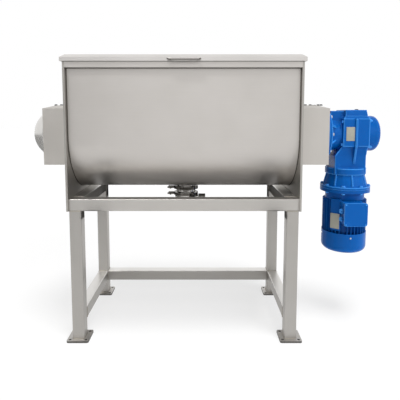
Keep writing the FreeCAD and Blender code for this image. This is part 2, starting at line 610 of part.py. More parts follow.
def dome():
    """Dished cap over the idle shaft end: spherical shell on a flat ring."""
    ball = "((dome_base_radius * dome_base_radius + dome_height * dome_height) / (2 * dome_height))"
    outer = doc.addObject("Part::Sphere", "dome_outer")
    inner = doc.addObject("Part::Sphere", "dome_inner")
    for obj, radius in ((outer, ball), (inner, ball + " - dome_sheet")):
        bind(obj, "Radius", radius)
        put(obj, "0", "0", "dome_height - " + ball)
    cap = cut("dome_shell", outer, inner, block("dome_below", "600", "600", "600", "-300", "-300", "-600"))
    ring = cut("dome_ring", rod("dome_ring_skin", "dome_base_radius + dome_flange", "dome_flange"),
               rod("dome_ring_bore", "dome_base_radius - dome_sheet - 2", "dome_flange + 2",
                   "z", "0", "0", "-1"))
    dome_cap = fuse("dome_cap", [cap, ring])
    node(put(dome_cap, "-box_left_end", "0", "shaft_height", (0, 1, 0), -90.0), "dome_cap")


# ------------------------------------------------------------------ bevel gearbox
def gearbox():
    centre = "motor_axis_x"
    seat = "box_right_end"
    tall = "gear_shoulder - gear_bottom"
    solids = [
        rod("gear_flange", "gear_flange_radius", "gear_flange_thickness", "x", seat, "0", "shaft_height"),
        cone("gear_neck", "gear_neck_radius + 10", "gear_neck_radius", "gear_neck_length + 10", "x",
             seat, "0", "shaft_height"),
        block("gear_block", "gear_length", "2 * gear_half_depth", tall, "gear_left",
              "-gear_half_depth", "gear_bottom"),
        wedge("gear_crown", ("gear_left", "gear_right", "gear_half_depth"),
              ("gear_left + gear_crown_slope", "gear_right - gear_crown_step",
               "gear_half_depth - gear_crown_slope"), "gear_top - gear_shoulder",
              "gear_shoulder"),
        wedge("gear_waist", (centre + " - gear_tail_half_width", centre + " + gear_tail_half_width",
                             "gear_tail_half_depth"),
              ("gear_left", "gear_right", "gear_tail_half_depth + gear_waist_flare"),
              "gear_bottom - gear_tail_top", "gear_tail_top"),
        block("gear_tail", "2 * gear_tail_half_width", "2 * gear_tail_half_depth",
              "gear_tail_top - input_flange_bottom", centre + " - gear_tail_half_width",
              "-gear_tail_half_depth", "input_flange_bottom"),
        rod("gear_input_flange", "input_flange_radius", "gear_tail_bottom - input_flange_bottom", "z",
            centre, "0", "input_flange_bottom"),
        block("gear_hump", "gear_left - hump_start + hump_lap", "2 * hump_half_depth",
              "hump_top - shaft_height", "hump_start", "-hump_half_depth", "shaft_height"),
        front_rib()]
    for number in range(8):
        solids.append(flange_rib(number))
    bores = [
        rod("gear_seat", "shaft_radius + running_gap", "gear_neck_length", "x", seat + " - 1", "0",
            "shaft_height"),
        rod("gear_room", "gear_cavity_radius", "gear_length + 20", "x", "gear_left - 18", "0",
            "shaft_height"),
        rod("gear_pinion_room", "pinion_room_radius", "shaft_height - input_flange_bottom", "z",
            centre, "0", "input_flange_bottom - 1")]
    node(cut("gear_housing", fuse("gear_casting", solids), *bores), "gear_housing")
    start = "gear_left + hump_lap"
    low = (start, "gear_right - top_cover_inset", "top_cover_half_depth")
    high = (start, "gear_right - 2 * top_cover_inset", "top_cover_half_depth - top_cover_inset")
    node(wedge("gear_top_cover", low, high, "top_cover_height", "gear_top"), "gear_top_cover")
    end_cover()


def front_rib():
    """Upright web on the front of the case that runs out towards the input flange."""
    owner = body("gear_front_rib")
    face = "-gear_half_depth - rib_stand_off"
    root = "-gear_tail_half_depth + 5"
    web = outline(owner, "front_rib_outline", "YZ_Plane", [
        (face, "-gear_drop"), (face, "gear_rise"), (root, "gear_rise"),
        (root, "gear_tail_bottom - shaft_height")])
    pad(owner, web, "front_rib_web", "gear_rib")
    return put(owner, "motor_axis_x + gear_rib", "0", "shaft_height")


def flange_rib(number):
    """Stiffening web between the output flange and the gear case."""
    turn = 22.5 + 45.0 * number
    web = doc.addObject("Part::Wedge", "gear_web_%d" % (number + 1))
    for prop, text in (("Xmin", "0"), ("Xmax", "gear_neck_length"), ("Ymin", "60"),
                       ("Ymax", "gear_flange_radius - 16"), ("X2min", "0"),
                       ("X2max", "gear_flange_thickness + 6"),
                       ("Zmin", "-gear_rib / 2"), ("Zmax", "gear_rib / 2"), ("Z2min", "-gear_rib / 2"),
                       ("Z2max", "gear_rib / 2")):
        bind(web, prop, text)
    return put(web, "box_right_end", "0", "shaft_height", (1, 0, 0), turn)


def end_cover():
    """Round bearing cover on the outer side of the gear case: turned, hollow, with a rounded rim."""
    owner = body("gear_end_cover")
    edge = "end_cover_radius"
    profile = outline(owner, "end_cover_profile", "XZ_Plane", [
        ("0", "end_cover_recess"), ("0", "end_cover_length"), (edge, "end_cover_length"), (edge, "0"),
        ("gear_cavity_radius", "0"), ("gear_cavity_radius", "end_cover_recess")])
    turned = revolve(owner, profile, "end_cover_turned")
    round_off(owner, turned, "end_cover_rounded", DIMS["end_cover_length"], "end_cover_round")
    node(put(owner, "gear_right", "0", "shaft_height", (0, 1, 0), 90.0), "gear_end_cover")


def round_off(owner, feature, name, level, fillet):
    """Fillet the widest full circle at the given height of a turned feature."""
    doc.recompute()
    rings = [(edge.BoundBox.XLength, "Edge%d" % (i + 1)) for i, edge in enumerate(feature.Shape.Edges)
             if edge.BoundBox.ZLength < 0.01 and abs(edge.BoundBox.ZMin - level) < 0.01]
    rounded = owner.newObject("PartDesign::Fillet", name)
    rounded.Base = (feature, [max(rings)[1]])
    bind(rounded, "Radius", fillet)
    return rounded


# ------------------------------------------------------------------ motor
def motor():
    motor_adapter()
    motor_frame()
    fan_cover()
    terminal_box()
    motor_rotor()


def motor_adapter():
    """Bell between gear case and motor flange: turned cone with upright ribs round it."""
    owner = body("motor_adapter")
    head = "flange_thickness + adapter_height"
    profile = outline(owner, "adapter_profile", "XZ_Plane", [
        ("adapter_room_radius", "0"), ("flange_radius", "0"), ("flange_radius", "flange_thickness"),
        ("adapter_low_radius", "flange_thickness"), ("adapter_top_radius", head),
        ("adapter_room_radius", head)])
    revolve(owner, profile, "adapter_turned")
    root = "adapter_top_radius - adapter_rib_root"
    rib = outline(owner, "adapter_rib_outline", "XZ_Plane", [
        (root, "flange_thickness"), ("adapter_low_radius + adapter_rib_rise", "flange_thickness"),
        ("adapter_top_radius + adapter_rib_rise", head), (root, head)])
    web = pad(owner, rib, "adapter_rib_web", "adapter_rib", both=True)
    around(owner, web, rib, "adapter_rib_ring", "adapter_rib_count", "V_Axis")
    node(put(owner, "motor_axis_x", "0", "flange_joint"), "motor_adapter")


def circle_sketch(owner, name, radius, across="0"):
    """Sketch with one circle on the XY plane, its centre on the X axis."""
    sketch = owner.newObject("Sketcher::SketchObject", name)
    sketch.AttachmentSupport = (plane(owner, "XY_Plane"), [""])
    sketch.MapMode = "FlatFace"
    ring = sketch.addGeometry(Part.Circle(FreeCAD.Vector(30, 0, 0), FreeCAD.Vector(0, 0, 1), 10))
    size = sketch.addConstraint(Sketcher.Constraint("Radius", ring, 10.0))
    bind(sketch, "Constraints[%d]" % size, radius)
    if across == "0":
        sketch.addConstraint(Sketcher.Constraint("Coincident", ring, 3, -1, 1))
    else:
        sketch.addConstraint(Sketcher.Constraint("PointOnObject", ring, 3, -1))
        index = sketch.addConstraint(Sketcher.Constraint("DistanceX", -1, 1, ring, 3, 30.0))
        bind(sketch, "Constraints[%d]" % index, across)
    return sketch


def around(owner, feature, sketch, name, count, axis="N_Axis"):
    """Repeat a feature evenly about the axis of its sketch that lies along local Z."""
    pattern = owner.newObject("PartDesign::PolarPattern", name)
    pattern.Originals = [feature]
    pattern.Axis = (sketch, [axis])
    pattern.Angle = 360.0
    bind(pattern, "Occurrences", count)
    owner.Tip = pattern
    return pattern


def motor_frame():
    """Finned frame with end walls, flange and shaft bores."""
    owner = body("motor_fins")
    pad(owner, circle_sketch(owner, "frame_circle", "motor_shell_radius"), "frame_pad",
        "motor_length")
    fin = "fin_thickness / 2"
    fin_sketch = outline(owner, "fin_sketch", "XY_Plane", [
        ("motor_shell_radius - 8", "-" + fin), ("fin_radius + 1", "-" + fin), ("fin_radius + 1", fin),
        ("motor_shell_radius - 8", fin)])
    fin_pad = pad(owner, fin_sketch, "fin_pad", "motor_length - fin_stop")
    around(owner, fin_pad, fin_sketch, "fin_ring", "fin_count")
    put(owner, "0", "0", "motor_bottom")
    turned = doc.addObject("Part::Common", "motor_turned")
    turned.Base = owner
    turned.Tool = rod("motor_turning", "fin_radius", "400", "z", "0", "0", "motor_bottom - 50")
    solids = fuse("motor_solids", [
        turned, rod("motor_flange", "flange_radius", "flange_thickness", "z", "0", "0", "flange_bottom"),
        rod("motor_neck", "motor_neck_radius", "motor_neck_height + fin_stop", "z", "0", "0",
            "motor_top - fin_stop")])
    bores = [rod("motor_bore", "motor_bore_radius", "motor_length - 2 * motor_end_wall", "z",
                 "0", "0", "motor_bottom + motor_end_wall"),
             rod("motor_shaft_bore", "motor_shaft_radius + running_gap", "400", "z", "0", "0",
                 "motor_bottom - 50")]
    node(put(cut("motor_frame", solids, *bores), "motor_axis_x"), "motor_frame")


def fan_cover():
    """Pressed cowl: a cup with a rounded bottom edge, shelled to sheet, with two rings of air holes."""
    owner = body("fan_cover")
    cup = pad(owner, circle_sketch(owner, "fan_cover_circle", "fan_cover_radius"), "fan_cover_cup",
              "fan_cover_height")
    rounded = round_off(owner, cup, "fan_cover_rounded", 0.0, "fan_cover_round")
    doc.recompute()
    mouth = ["Face%d" % (i + 1) for i, face in enumerate(rounded.Shape.Faces)
             if abs(face.CenterOfMass.z - DIMS["fan_cover_height"]) < 0.01]
    shell = owner.newObject("PartDesign::Thickness", "fan_cover_shell")
    shell.Base = (rounded, mouth)
    shell.Reversed = True
    bind(shell, "Value", "fan_cover_sheet")
    for name, radius, ring, count in (("outer", "vent_radius", "vent_outer_ring", "vent_outer_count"),
                                      ("inner", "vent_radius", "vent_inner_ring", "vent_inner_count")):
        holes = circle_sketch(owner, "vent_%s_sketch" % name, radius, ring)
        vent = owner.newObject("PartDesign::Pocket", "vent_" + name)
        vent.Profile = holes
        vent.Reversed = True
        bind(vent, "Length", "fan_cover_sheet + 2")
        around(owner, vent, holes, "vent_%s_pattern" % name, count)
    node(put(owner, "motor_axis_x", "0", "fan_cover_bottom"), "fan_cover")


def terminal_box():
    wide = "2 * terminal_half_width"
    deep = "terminal_front - terminal_back"
    wall = "terminal_wall"
    corner = DIMS["terminal_corner"]
    skin = rounded_block("terminal_skin", wide, deep, "terminal_height", "-terminal_half_width",
                         "-terminal_front", axis="y", radius=corner)
    lid_edge = rounded_block("terminal_lid_edge", wide + " + 2 * terminal_lip", "terminal_lid",
                             "terminal_height + 2 * terminal_lip", "-terminal_half_width - terminal_lip",
                             "-terminal_front", "-terminal_lip", "y", corner + DIMS["terminal_lip"])
    room = block("terminal_room", "%s - 2 * %s" % (wide, wall), "34", "terminal_height - 2 * " + wall,
                 "-terminal_half_width + " + wall, "-terminal_front + " + wall, wall)
    solid = put(cut("terminal_solid", fuse("terminal_skins", [skin, lid_edge]), room), "motor_axis_x", "0",
                "terminal_bottom")
    saddle = rod("terminal_saddle", "fin_radius", "400", "z", "motor_axis_x", "0", "motor_bottom - 50")
    node(cut("terminal_box", solid, saddle), "terminal_box")


def motor_rotor():
    """Motor shaft with rotor core, pinion and cooling fan."""
    solids = [
        rod("rotor_shaft", "motor_shaft_radius", "gear_tail_top - fan_bottom - 20", "z", "0", "0",
            "fan_bottom - 6"),
        rod("rotor_core", "rotor_core_radius", "motor_length - 2 * motor_end_wall - 2 * rotor_gap", "z", "0",
            "0", "motor_bottom + motor_end_wall + rotor_gap"),
        cone("rotor_pinion", "pinion_low_radius", "pinion_high_radius", "pinion_height", "z", "0", "0",
             "gear_tail_top - 2 * pinion_height"),
        rod("fan_hub", "fan_hub_radius", "fan_height", "z", "0", "0", "fan_bottom"),
        rod("fan_disc", "fan_radius", "fan_blade", "z", "0", "0", "fan_bottom + fan_height - fan_blade")]
    for number in range(int(DIMS["fan_blade_count"])):
        blade = block("fan_blade_%d" % (number + 1), "fan_radius - 24", "fan_blade", "fan_height")
        angle = 360.0 * number / DIMS["fan_blade_count"]
        turn = FreeCAD.Rotation(FreeCAD.Vector(0, 0, 1), angle)
        start = turn.multVec(FreeCAD.Vector(24, -2, 0))
        blade.Placement = FreeCAD.Placement(start, turn)
        bind(blade, "Placement.Base.z", "fan_bottom")
        solids.append(blade)
    node(put(fuse("motor_rotor", solids), "motor_axis_x"), "motor_rotor")


# ------------------------------------------------------------------ outlet
def outlet():
    bore = "spout_bore"
    stem = "(lower_joint + valve_bottom) / 2"
    spout = fuse("spout_solid", [
        rod("spout_tube", "spout_radius", "spout_drop + 2 * ferrule_thickness", "z", "0", "0", "upper_joint"),
        rod("spout_ferrule", "ferrule_radius", "ferrule_thickness", "z", "0", "0", "upper_joint")])
    node(cut("outlet_spout", spout, rod("spout_bore", bore, "80", "z", "0", "0", "upper_joint - 1"),
             rod("spout_saddle", "trough_outer", "400", "x", "-200", "0", "shaft_height")),
         "outlet_spout")
    spool = fuse("spool_solid", [
        rod("spool_tube", "spout_radius", "upper_joint - lower_joint", "z", "0", "0", "lower_joint"),
        rod("spool_low_ferrule", "ferrule_radius", "ferrule_thickness", "z", "0", "0", "lower_joint"),
        rod("spool_top_ferrule", "ferrule_radius", "ferrule_thickness", "z", "0", "0",
            "upper_joint - ferrule_thickness")])
    node(cut("outlet_spool", spool, rod("spool_bore", bore, "80", "z", "0", "0", "lower_joint - 1")),
         "outlet_spool")
    case = fuse("valve_solid", [
        rod("valve_barrel", "valve_body_radius", "lower_joint - valve_bottom", "z", "0", "0", "valve_bottom"),
        rod("valve_low_ferrule", "ferrule_radius", "ferrule_thickness", "z", "0", "0", "valve_bottom"),
        rod("valve_top_ferrule", "ferrule_radius", "ferrule_thickness", "z", "0", "0",
            "lower_joint - ferrule_thickness"),
        rod("valve_boss", "boss_radius", "2 * boss_reach - 8", "x", "-boss_reach + 8", "0", stem)])
    node(cut("valve_body", case, rod("valve_bore", bore, "90", "z", "0", "0", "valve_bottom - 1"),
             rod("valve_stem_bore", "stem_radius + running_gap", "200", "x",
                 "-spout_radius - stem_sink - 1", "0", stem)),
         "valve_body")
    for name, level in (("upper_clamp", "upper_joint"), ("lower_clamp", "lower_joint")):
        clamp(name, level)
    disc = fuse("valve_disc", [
        rod("valve_plate", bore + " - disc_gap", "disc_thickness", "z", "0", "0",
            stem + " - disc_thickness / 2"),
        rod("valve_stem", "stem_radius", "spout_radius + stem_sink + stem_reach", "x",
            "-spout_radius - stem_sink", "0", stem)])
    node(disc, "valve_disc")
    lever = fuse("lever_solid", [
        rod("lever_hub", "hub_radius", "hub_end - hub_start", "x", "hub_start"),
        block("lever_bar", "lever_thickness", "lever_length", "lever_width",
              "(hub_start + hub_end - lever_thickness) / 2", "-lever_length", "-lever_width / 2")])
    grip_hole = cut("valve_lever", lever, rod("lever_bore", "stem_radius", "stem_reach - hub_start + 10", "x",
                                              "hub_start - 10"))
    node(put(grip_hole, "0", "0", stem), "valve_lever")


def clamp(name, level):
    """Two-lip pipe clamp with a lug and wing nut on the left."""
    reach = "clamp_lug_reach"
    solids = fuse(name + "_solid", [
        rod(name + "_ring", "clamp_radius", "clamp_height", "z", "0", "0", "-clamp_height / 2"),
        block(name + "_lug", reach + " - 60", "16", "clamp_height - 2", "-%s" % reach, "-8",
              "-clamp_height / 2 + 1"),
        rod(name + "_bolt", "4", "56", "y", "-%s + 12" % reach, "-36"),
        rod(name + "_nut", "8", "10", "y", "-%s + 12" % reach, "-22"),
        block(name + "_wings", "34", "4", "9", "-%s - 5" % reach, "-19", "-4.5")])
    groove = rod(name + "_groove", "ferrule_radius", "2 * ferrule_thickness", "z", "0", "0",
                 "-ferrule_thickness")
    eye = rod(name + "_eye", "clamp_bore", "clamp_height + 2", "z", "0", "0", "-clamp_height / 2 - 1")
    node(put(cut(name, solids, groove, eye), "0", "0", level), name)


BUILDERS = [stand, trough, lid, agitator, bearing_boxes, gearbox, motor, outlet]

for build in BUILDERS:
    build()
doc.recompute()

faults = [o.Name for o in doc.Objects if "Invalid" in o.State or "Error" in o.State]
for label, obj in NODES.items():
    if obj.Shape.isNull() or not obj.Shape.isValid():
        faults.append(label)
if faults:
    raise RuntimeError("bad objects: " + ", ".join(faults))
os.makedirs("parts", exist_ok=True)
for label, obj in NODES.items():
    obj.Shape.exportStep("parts/%s.step" % label)
    box = obj.Shape.BoundBox
    print("%-20s %d solids  x %.1f..%.1f  y %.1f..%.1f  z %.1f..%.1f" % (
        label, len(obj.Shape.Solids), box.XMin, box.XMax, box.YMin, box.YMax, box.ZMin, box.ZMax))
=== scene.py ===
"""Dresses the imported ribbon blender: finishes, castings, fasteners, welds, lights and camera."""

import logging
import math
from abc import ABC, abstractmethod
from collections.abc import Iterable
from dataclasses import dataclass, field
from enum import Enum

import bmesh
import bpy
from mathutils import Matrix, Vector


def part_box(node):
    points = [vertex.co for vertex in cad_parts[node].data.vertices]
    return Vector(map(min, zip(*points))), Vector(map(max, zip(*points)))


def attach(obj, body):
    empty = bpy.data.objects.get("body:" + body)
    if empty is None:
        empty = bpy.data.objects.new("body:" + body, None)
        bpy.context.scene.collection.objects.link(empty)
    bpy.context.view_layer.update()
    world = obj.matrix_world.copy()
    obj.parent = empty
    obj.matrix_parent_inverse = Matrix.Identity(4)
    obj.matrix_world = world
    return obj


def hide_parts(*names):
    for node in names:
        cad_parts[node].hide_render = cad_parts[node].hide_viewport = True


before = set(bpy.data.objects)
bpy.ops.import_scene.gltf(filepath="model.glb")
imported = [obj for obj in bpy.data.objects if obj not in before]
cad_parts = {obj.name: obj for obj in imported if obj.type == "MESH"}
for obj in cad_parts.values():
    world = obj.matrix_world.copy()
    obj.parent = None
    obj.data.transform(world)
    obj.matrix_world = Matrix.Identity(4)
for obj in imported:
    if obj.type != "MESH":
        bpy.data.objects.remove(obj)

MM = 0.001
LOG = logging.getLogger("ribbon_blender")
UP = Vector((0, 0, 1))
SIDEWAYS = (Vector((1, 0, 0)), Vector((-1, 0, 0)), Vector((0, 1, 0)), Vector((0, -1, 0)))


class Body(Enum):
    """Moving bodies of the machine that a piece can ride on."""

    MACHINE = "machine"
    LID = "lid"
    AGITATOR = "agitator"
    VALVE = "outlet_valve"


class Grain(Enum):
    """Direction of the polishing lines: how much the line pattern is stretched along X, Y and Z."""

    ALONG_X = (0.02, 1.0, 1.0)
    ALONG_Y = (1.0, 0.02, 1.0)
    ALONG_Z = (1.0, 1.0, 0.02)
    NONE = (1.0, 1.0, 1.0)


# ------------------------------------------------------------------ node helpers
def linear(hex_colour: str) -> tuple[float, float, float, float]:
    """Turn an sRGB hex colour into linear RGBA.

    Args:
        hex_colour: Six hex digits with a leading hash.

    Returns:
        Linear red, green, blue and an alpha of 1.
    """
    channels = [int(hex_colour[i:i + 2], 16) / 255.0 for i in (1, 3, 5)]
    red, green, blue = (c / 12.92 if c <= 0.04045 else ((c + 0.055) / 1.055) ** 2.4 for c in channels)
    return red, green, blue, 1.0


def add_node(tree: bpy.types.NodeTree, kind: str, settings: dict | None = None,
             links: dict | None = None) -> bpy.types.Node:
    """Add a shader node with its settings and incoming links.

    Args:
        tree: Node tree that gets the node.
        kind: Blender's type name of the node.
        settings: Node properties by name, and socket values by socket name or index.
        links: Output sockets by the name or index of the input they feed.

    Returns:
        The new node.
    """
    node = tree.nodes.new(kind)
    for key, value in (settings or {}).items():
        if isinstance(key, str) and hasattr(node, key):
            setattr(node, key, value)
        else:
            node.inputs[key].default_value = value
    for key, socket in (links or {}).items():
        tree.links.new(socket, node.inputs[key])
    return node


# ------------------------------------------------------------------ finishes
@dataclass(frozen=True)
class Finish(ABC):
    """A surface finish that makes one material, named for the real material and process."""

    name: str

    @abstractmethod
    def shade(self, tree: bpy.types.NodeTree, shader: bpy.types.Node) -> None:
        """Set the shader's sockets and add the pattern nodes.

        Args:
            tree: The material's node tree.
            shader: Its Principled BSDF.
        """

    def material(self) -> bpy.types.Material:
        """Return the finish's material, made at the first call."""
        made = bpy.data.materials.get(self.name)
        if made is None:
            made = bpy.data.materials.new(self.name)
            made.use_nodes = True
            made.node_tree.nodes.clear()
            shader = add_node(made.node_tree, "ShaderNodeBsdfPrincipled")
            add_node(made.node_tree, "ShaderNodeOutputMaterial", links={"Surface": shader.outputs["BSDF"]})
            self.shade(made.node_tree, shader)
        return made


@dataclass(frozen=True)
class Stainless(Finish):
    """Stainless steel, rolled, brushed or machined; the grain breaks up the sheen in one direction."""

    tint: str = "#CBC7C3"
    shadow_tint: str = "#BFBBB6"
    roughness: float = 0.42
    spread: float = 0.06
    grain: Grain = Grain.ALONG_X
    line_mm: float = 2.5     # real belt lines are 0.3 mm apart; drawn coarser so that they show
    cloud_mm: float = 180.0  # broad marks of the polishing passes
    line_height: float = 0.06

    def shade(self, tree: bpy.types.NodeTree, shader: bpy.types.Node) -> None:
        """Polishing lines drive bump and roughness, broad clouds drive the tint."""
        place = add_node(tree, "ShaderNodeTexCoord").outputs["Object"]
        stretched = add_node(tree, "ShaderNodeMapping", {"Scale": self.grain.value}, {"Vector": place})
        lines = add_node(tree, "ShaderNodeTexNoise", {"Scale": 1.0 / (self.line_mm * MM), "Detail": 3.0},
                         {"Vector": stretched.outputs["Vector"]})
        clouds = add_node(tree, "ShaderNodeTexNoise", {"Scale": 1.0 / (self.cloud_mm * MM), "Detail": 2.0},
                          {"Vector": place})
        mixed = add_node(tree, "ShaderNodeMath", {"operation": "MULTIPLY_ADD", 1: 0.5},
                         {0: lines.outputs["Fac"], 2: clouds.outputs["Fac"]})
        tint = add_node(tree, "ShaderNodeMix", {"data_type": "RGBA", 6: linear(self.shadow_tint),
                                                7: linear(self.tint)}, {0: mixed.outputs["Value"]})
        rough = add_node(tree, "ShaderNodeMapRange", {"To Min": self.roughness - self.spread,
                                                      "To Max": self.roughness + self.spread},
                         {"Value": mixed.outputs["Value"]})
        bump = add_node(tree, "ShaderNodeBump", {"Strength": self.line_height, "Distance": 0.2 * MM},
                        {"Height": lines.outputs["Fac"]})
        shader.inputs["Metallic"].default_value = 1.0
        tree.links.new(tint.outputs[2], shader.inputs["Base Color"])
        tree.links.new(rough.outputs["Result"], shader.inputs["Roughness"])
        tree.links.new(bump.outputs["Normal"], shader.inputs["Normal"])


@dataclass(frozen=True)
class Enamel(Finish):
    """Sprayed machine enamel: saturated, half gloss, with the slight orange peel of a spray gun."""

    colour: str = "#0059A9"
    deep_colour: str = "#00519F"
    roughness: float = 0.24
    peel_mm: float = 5.0
    peel_height: float = 0.1
    sand_mm: float = 0.0  # grain of the sand mould under the paint; 0 for pressed sheet
    edge_colour: str = ""  # painted highlight: lighter blue drawn over the edges of a casting; empty for none

    def shade(self, tree: bpy.types.NodeTree, shader: bpy.types.Node) -> None:
        """A patchy blue with orange peel and cast grain in the bump."""
        place = add_node(tree, "ShaderNodeTexCoord").outputs["Object"]
        peel = add_node(tree, "ShaderNodeTexNoise", {"Scale": 1.0 / (self.peel_mm * MM), "Detail": 1.0},
                        {"Vector": place})
        patches = add_node(tree, "ShaderNodeTexNoise", {"Scale": 1.0 / (60 * MM), "Detail": 3.0},
                           {"Vector": place})
        colour = add_node(tree, "ShaderNodeMix", {"data_type": "RGBA", 6: linear(self.deep_colour),
                                                  7: linear(self.colour)}, {0: patches.outputs["Fac"]})
        # painted highlight: lighter blue where the surface is pointy, on the casting's edges
        if self.edge_colour:
            edges = add_node(tree, "ShaderNodeMapRange", {"From Min": 0.505, "From Max": 0.545},
                             {"Value": add_node(tree, "ShaderNodeNewGeometry").outputs["Pointiness"]})
            colour = add_node(tree, "ShaderNodeMix", {"data_type": "RGBA", 7: linear(self.edge_colour)},
                              {0: edges.outputs["Result"], 6: colour.outputs[2]})
        bump = add_node(tree, "ShaderNodeBump", {"Strength": self.peel_height, "Distance": 0.3 * MM},
                        {"Height": peel.outputs["Fac"]})
        if self.sand_mm:
            sand = add_node(tree, "ShaderNodeTexNoise", {"Scale": 1.0 / (self.sand_mm * MM), "Detail": 2.0},
                            {"Vector": place})
            bump = add_node(tree, "ShaderNodeBump", {"Strength": 0.12, "Distance": 0.3 * MM},
                            {"Height": sand.outputs["Fac"], "Normal": bump.outputs["Normal"]})
        rough = add_node(tree, "ShaderNodeMapRange", {"To Min": self.roughness - 0.05,
                                                      "To Max": self.roughness + 0.08},
                         {"Value": patches.outputs["Fac"]})
        shader.inputs["Specular IOR Level"].default_value = 0.12
        tree.links.new(colour.outputs[2], shader.inputs["Base Color"])
        tree.links.new(rough.outputs["Result"], shader.inputs["Roughness"])
        tree.links.new(bump.outputs["Normal"], shader.inputs["Normal"])


@dataclass(frozen=True)
class Plain(Finish):
    """Moulded rubber, plastic, plated or cast metal: an even body with fine speckle."""

    colour: str = "#303030"
    speckle_colour: str = "#3A3A3A"
    roughness: float = 0.6
    metallic: float = 0.0
    speckle_mm: float = 2.0
    height: float = 0.1

    def shade(self, tree: bpy.types.NodeTree, shader: bpy.types.Node) -> None:
        """Speckle drives tint, roughness and bump together."""
        place = add_node(tree, "ShaderNodeTexCoord").outputs["Object"]
        speckle = add_node(tree, "ShaderNodeTexNoise", {"Scale": 1.0 / (self.speckle_mm * MM), "Detail": 4.0},
                           {"Vector": place})
        colour = add_node(tree, "ShaderNodeMix", {"data_type": "RGBA", 6: linear(self.colour),
                                                  7: linear(self.speckle_colour)},
                          {0: speckle.outputs["Fac"]})
        rough = add_node(tree, "ShaderNodeMapRange", {"To Min": self.roughness - 0.06,
                                                      "To Max": self.roughness + 0.06},
                         {"Value": speckle.outputs["Fac"]})
        bump = add_node(tree, "ShaderNodeBump", {"Strength": self.height, "Distance": 0.2 * MM},
                        {"Height": speckle.outputs["Fac"]})
        shader.inputs["Metallic"].default_value = self.metallic
        tree.links.new(colour.outputs[2], shader.inputs["Base Color"])
        tree.links.new(rough.outputs["Result"], shader.inputs["Roughness"])
        tree.links.new(bump.outputs["Normal"], shader.inputs["Normal"])


# bead-blasted and brushed sheet: soft, almost even light grey with a warm cast
TROUGH_SHEET = Stainless("satin_brushed_stainless_sheet")
LID_SHEET = Stainless("satin_brushed_stainless_lid", tint="#D6D3D0", shadow_tint="#CAC7C3")
END_SHEET = Stainless("satin_brushed_stainless_plate", grain=Grain.ALONG_Z, tint="#B0ADA8",
                      shadow_tint="#A4A19C")
BOX_SHEET = Stainless("folded_stainless_sheet", tint="#C8C4BF", shadow_tint="#BDB9B3", grain=Grain.ALONG_Z)
# square tube ground along its length after welding: a little darker than the sheet; the low rear stretcher gets a
# darker copy, painted shade
TUBE_X = Stainless("ground_stainless_tube_lengthwise", tint="#BEBBB7", shadow_tint="#B1AEA9")
STRETCHER = Stainless("ground_stainless_tube_low", tint="#A3A09C", shadow_tint="#95928E")
# upward faces of the tubes and the grip: the lightest of the tube, painted light from above
TUBE_TOP = Stainless("belt_polished_tube_top", tint="#E6E4E1", shadow_tint="#DAD8D4", roughness=0.36,
                     grain=Grain.NONE)
TUBE_Y = Stainless("ground_stainless_tube_crosswise", tint="#B3B0AC", shadow_tint="#A5A29D",
                   grain=Grain.ALONG_Y)
TUBE_Z = Stainless("ground_stainless_tube_upright", tint="#B3B0AC", shadow_tint="#A5A29D",
                   grain=Grain.ALONG_Z)
FOOT_PLATE = Stainless("laser_cut_stainless_plate", tint="#C2BFBB", shadow_tint="#B2AFAB", grain=Grain.NONE)
# spun dome: finer lines, so it mirrors the room more sharply than the sheet
SPUN_DOME = Stainless("spun_stainless", tint="#DAD8D5", shadow_tint="#D0CECA", roughness=0.27,
                      spread=0.02, grain=Grain.NONE, line_mm=6.0, line_height=0.0)
# electropolished fittings: dark and light reflections side by side
POLISHED = Stainless("electropolished_stainless", tint="#D6D4D0", shadow_tint="#CBC8C3", roughness=0.14,
                     spread=0.03, grain=Grain.NONE, line_height=0.01)
# clamp castings, investment cast and tumbled, tinted darker than the polished tube they hold: painted dark
# reflections
CLAMP = Stainless("tumbled_cast_stainless", tint="#77736E", shadow_tint="#5E5A55", roughness=0.2,
                  spread=0.04, grain=Grain.NONE, line_height=0.03)
RIBBON = Stainless("ground_stainless_flat_bar", tint="#C4C1BB", shadow_tint="#B4B0A9", roughness=0.34,
                   grain=Grain.ALONG_X)
SHAFT = Stainless("turned_stainless_bar", tint="#C6C3BE", shadow_tint="#B7B4AE", roughness=0.28,
                  grain=Grain.NONE, line_mm=1.5)
# pickled weld: dull, slightly yellowed and rougher than the sheet beside it
WELD = Stainless("pickled_weld_bead", tint="#A9A49B", shadow_tint="#979187", roughness=0.5, grain=Grain.NONE,
                 line_mm=3.0, line_height=0.3)
# seam weld, a thin line; its dark tint is painted shadow, under the rim and where the sheet meets the end plates
SEAM = Stainless("unground_seam_weld", tint="#6E6A65", shadow_tint="#5C5853", roughness=0.55,
                 grain=Grain.NONE, line_mm=3.0, line_height=0.3)
# dark stainless: painted shade on the grip's underside; on the foot plates' edges the dark oxide of the cut and
# painted shade together
MILL = Stainless("mill_finish_stainless", tint="#6B6966", shadow_tint="#5A5855", roughness=0.5)
CAST_BLUE = Enamel("blue_enamel_on_cast_iron", sand_mm=1.6, edge_colour="#3F8FDC")
TURNED_BLUE = Enamel("blue_enamel_on_turned_iron")
SHEET_BLUE = Enamel("blue_enamel_on_pressed_steel", colour="#005BAC", deep_colour="#0053A1", roughness=0.2)
FIN_BLUE = Enamel("blue_enamel_on_cast_aluminium", colour="#0055A4", deep_colour="#004B95", roughness=0.28,
                  sand_mm=1.2)
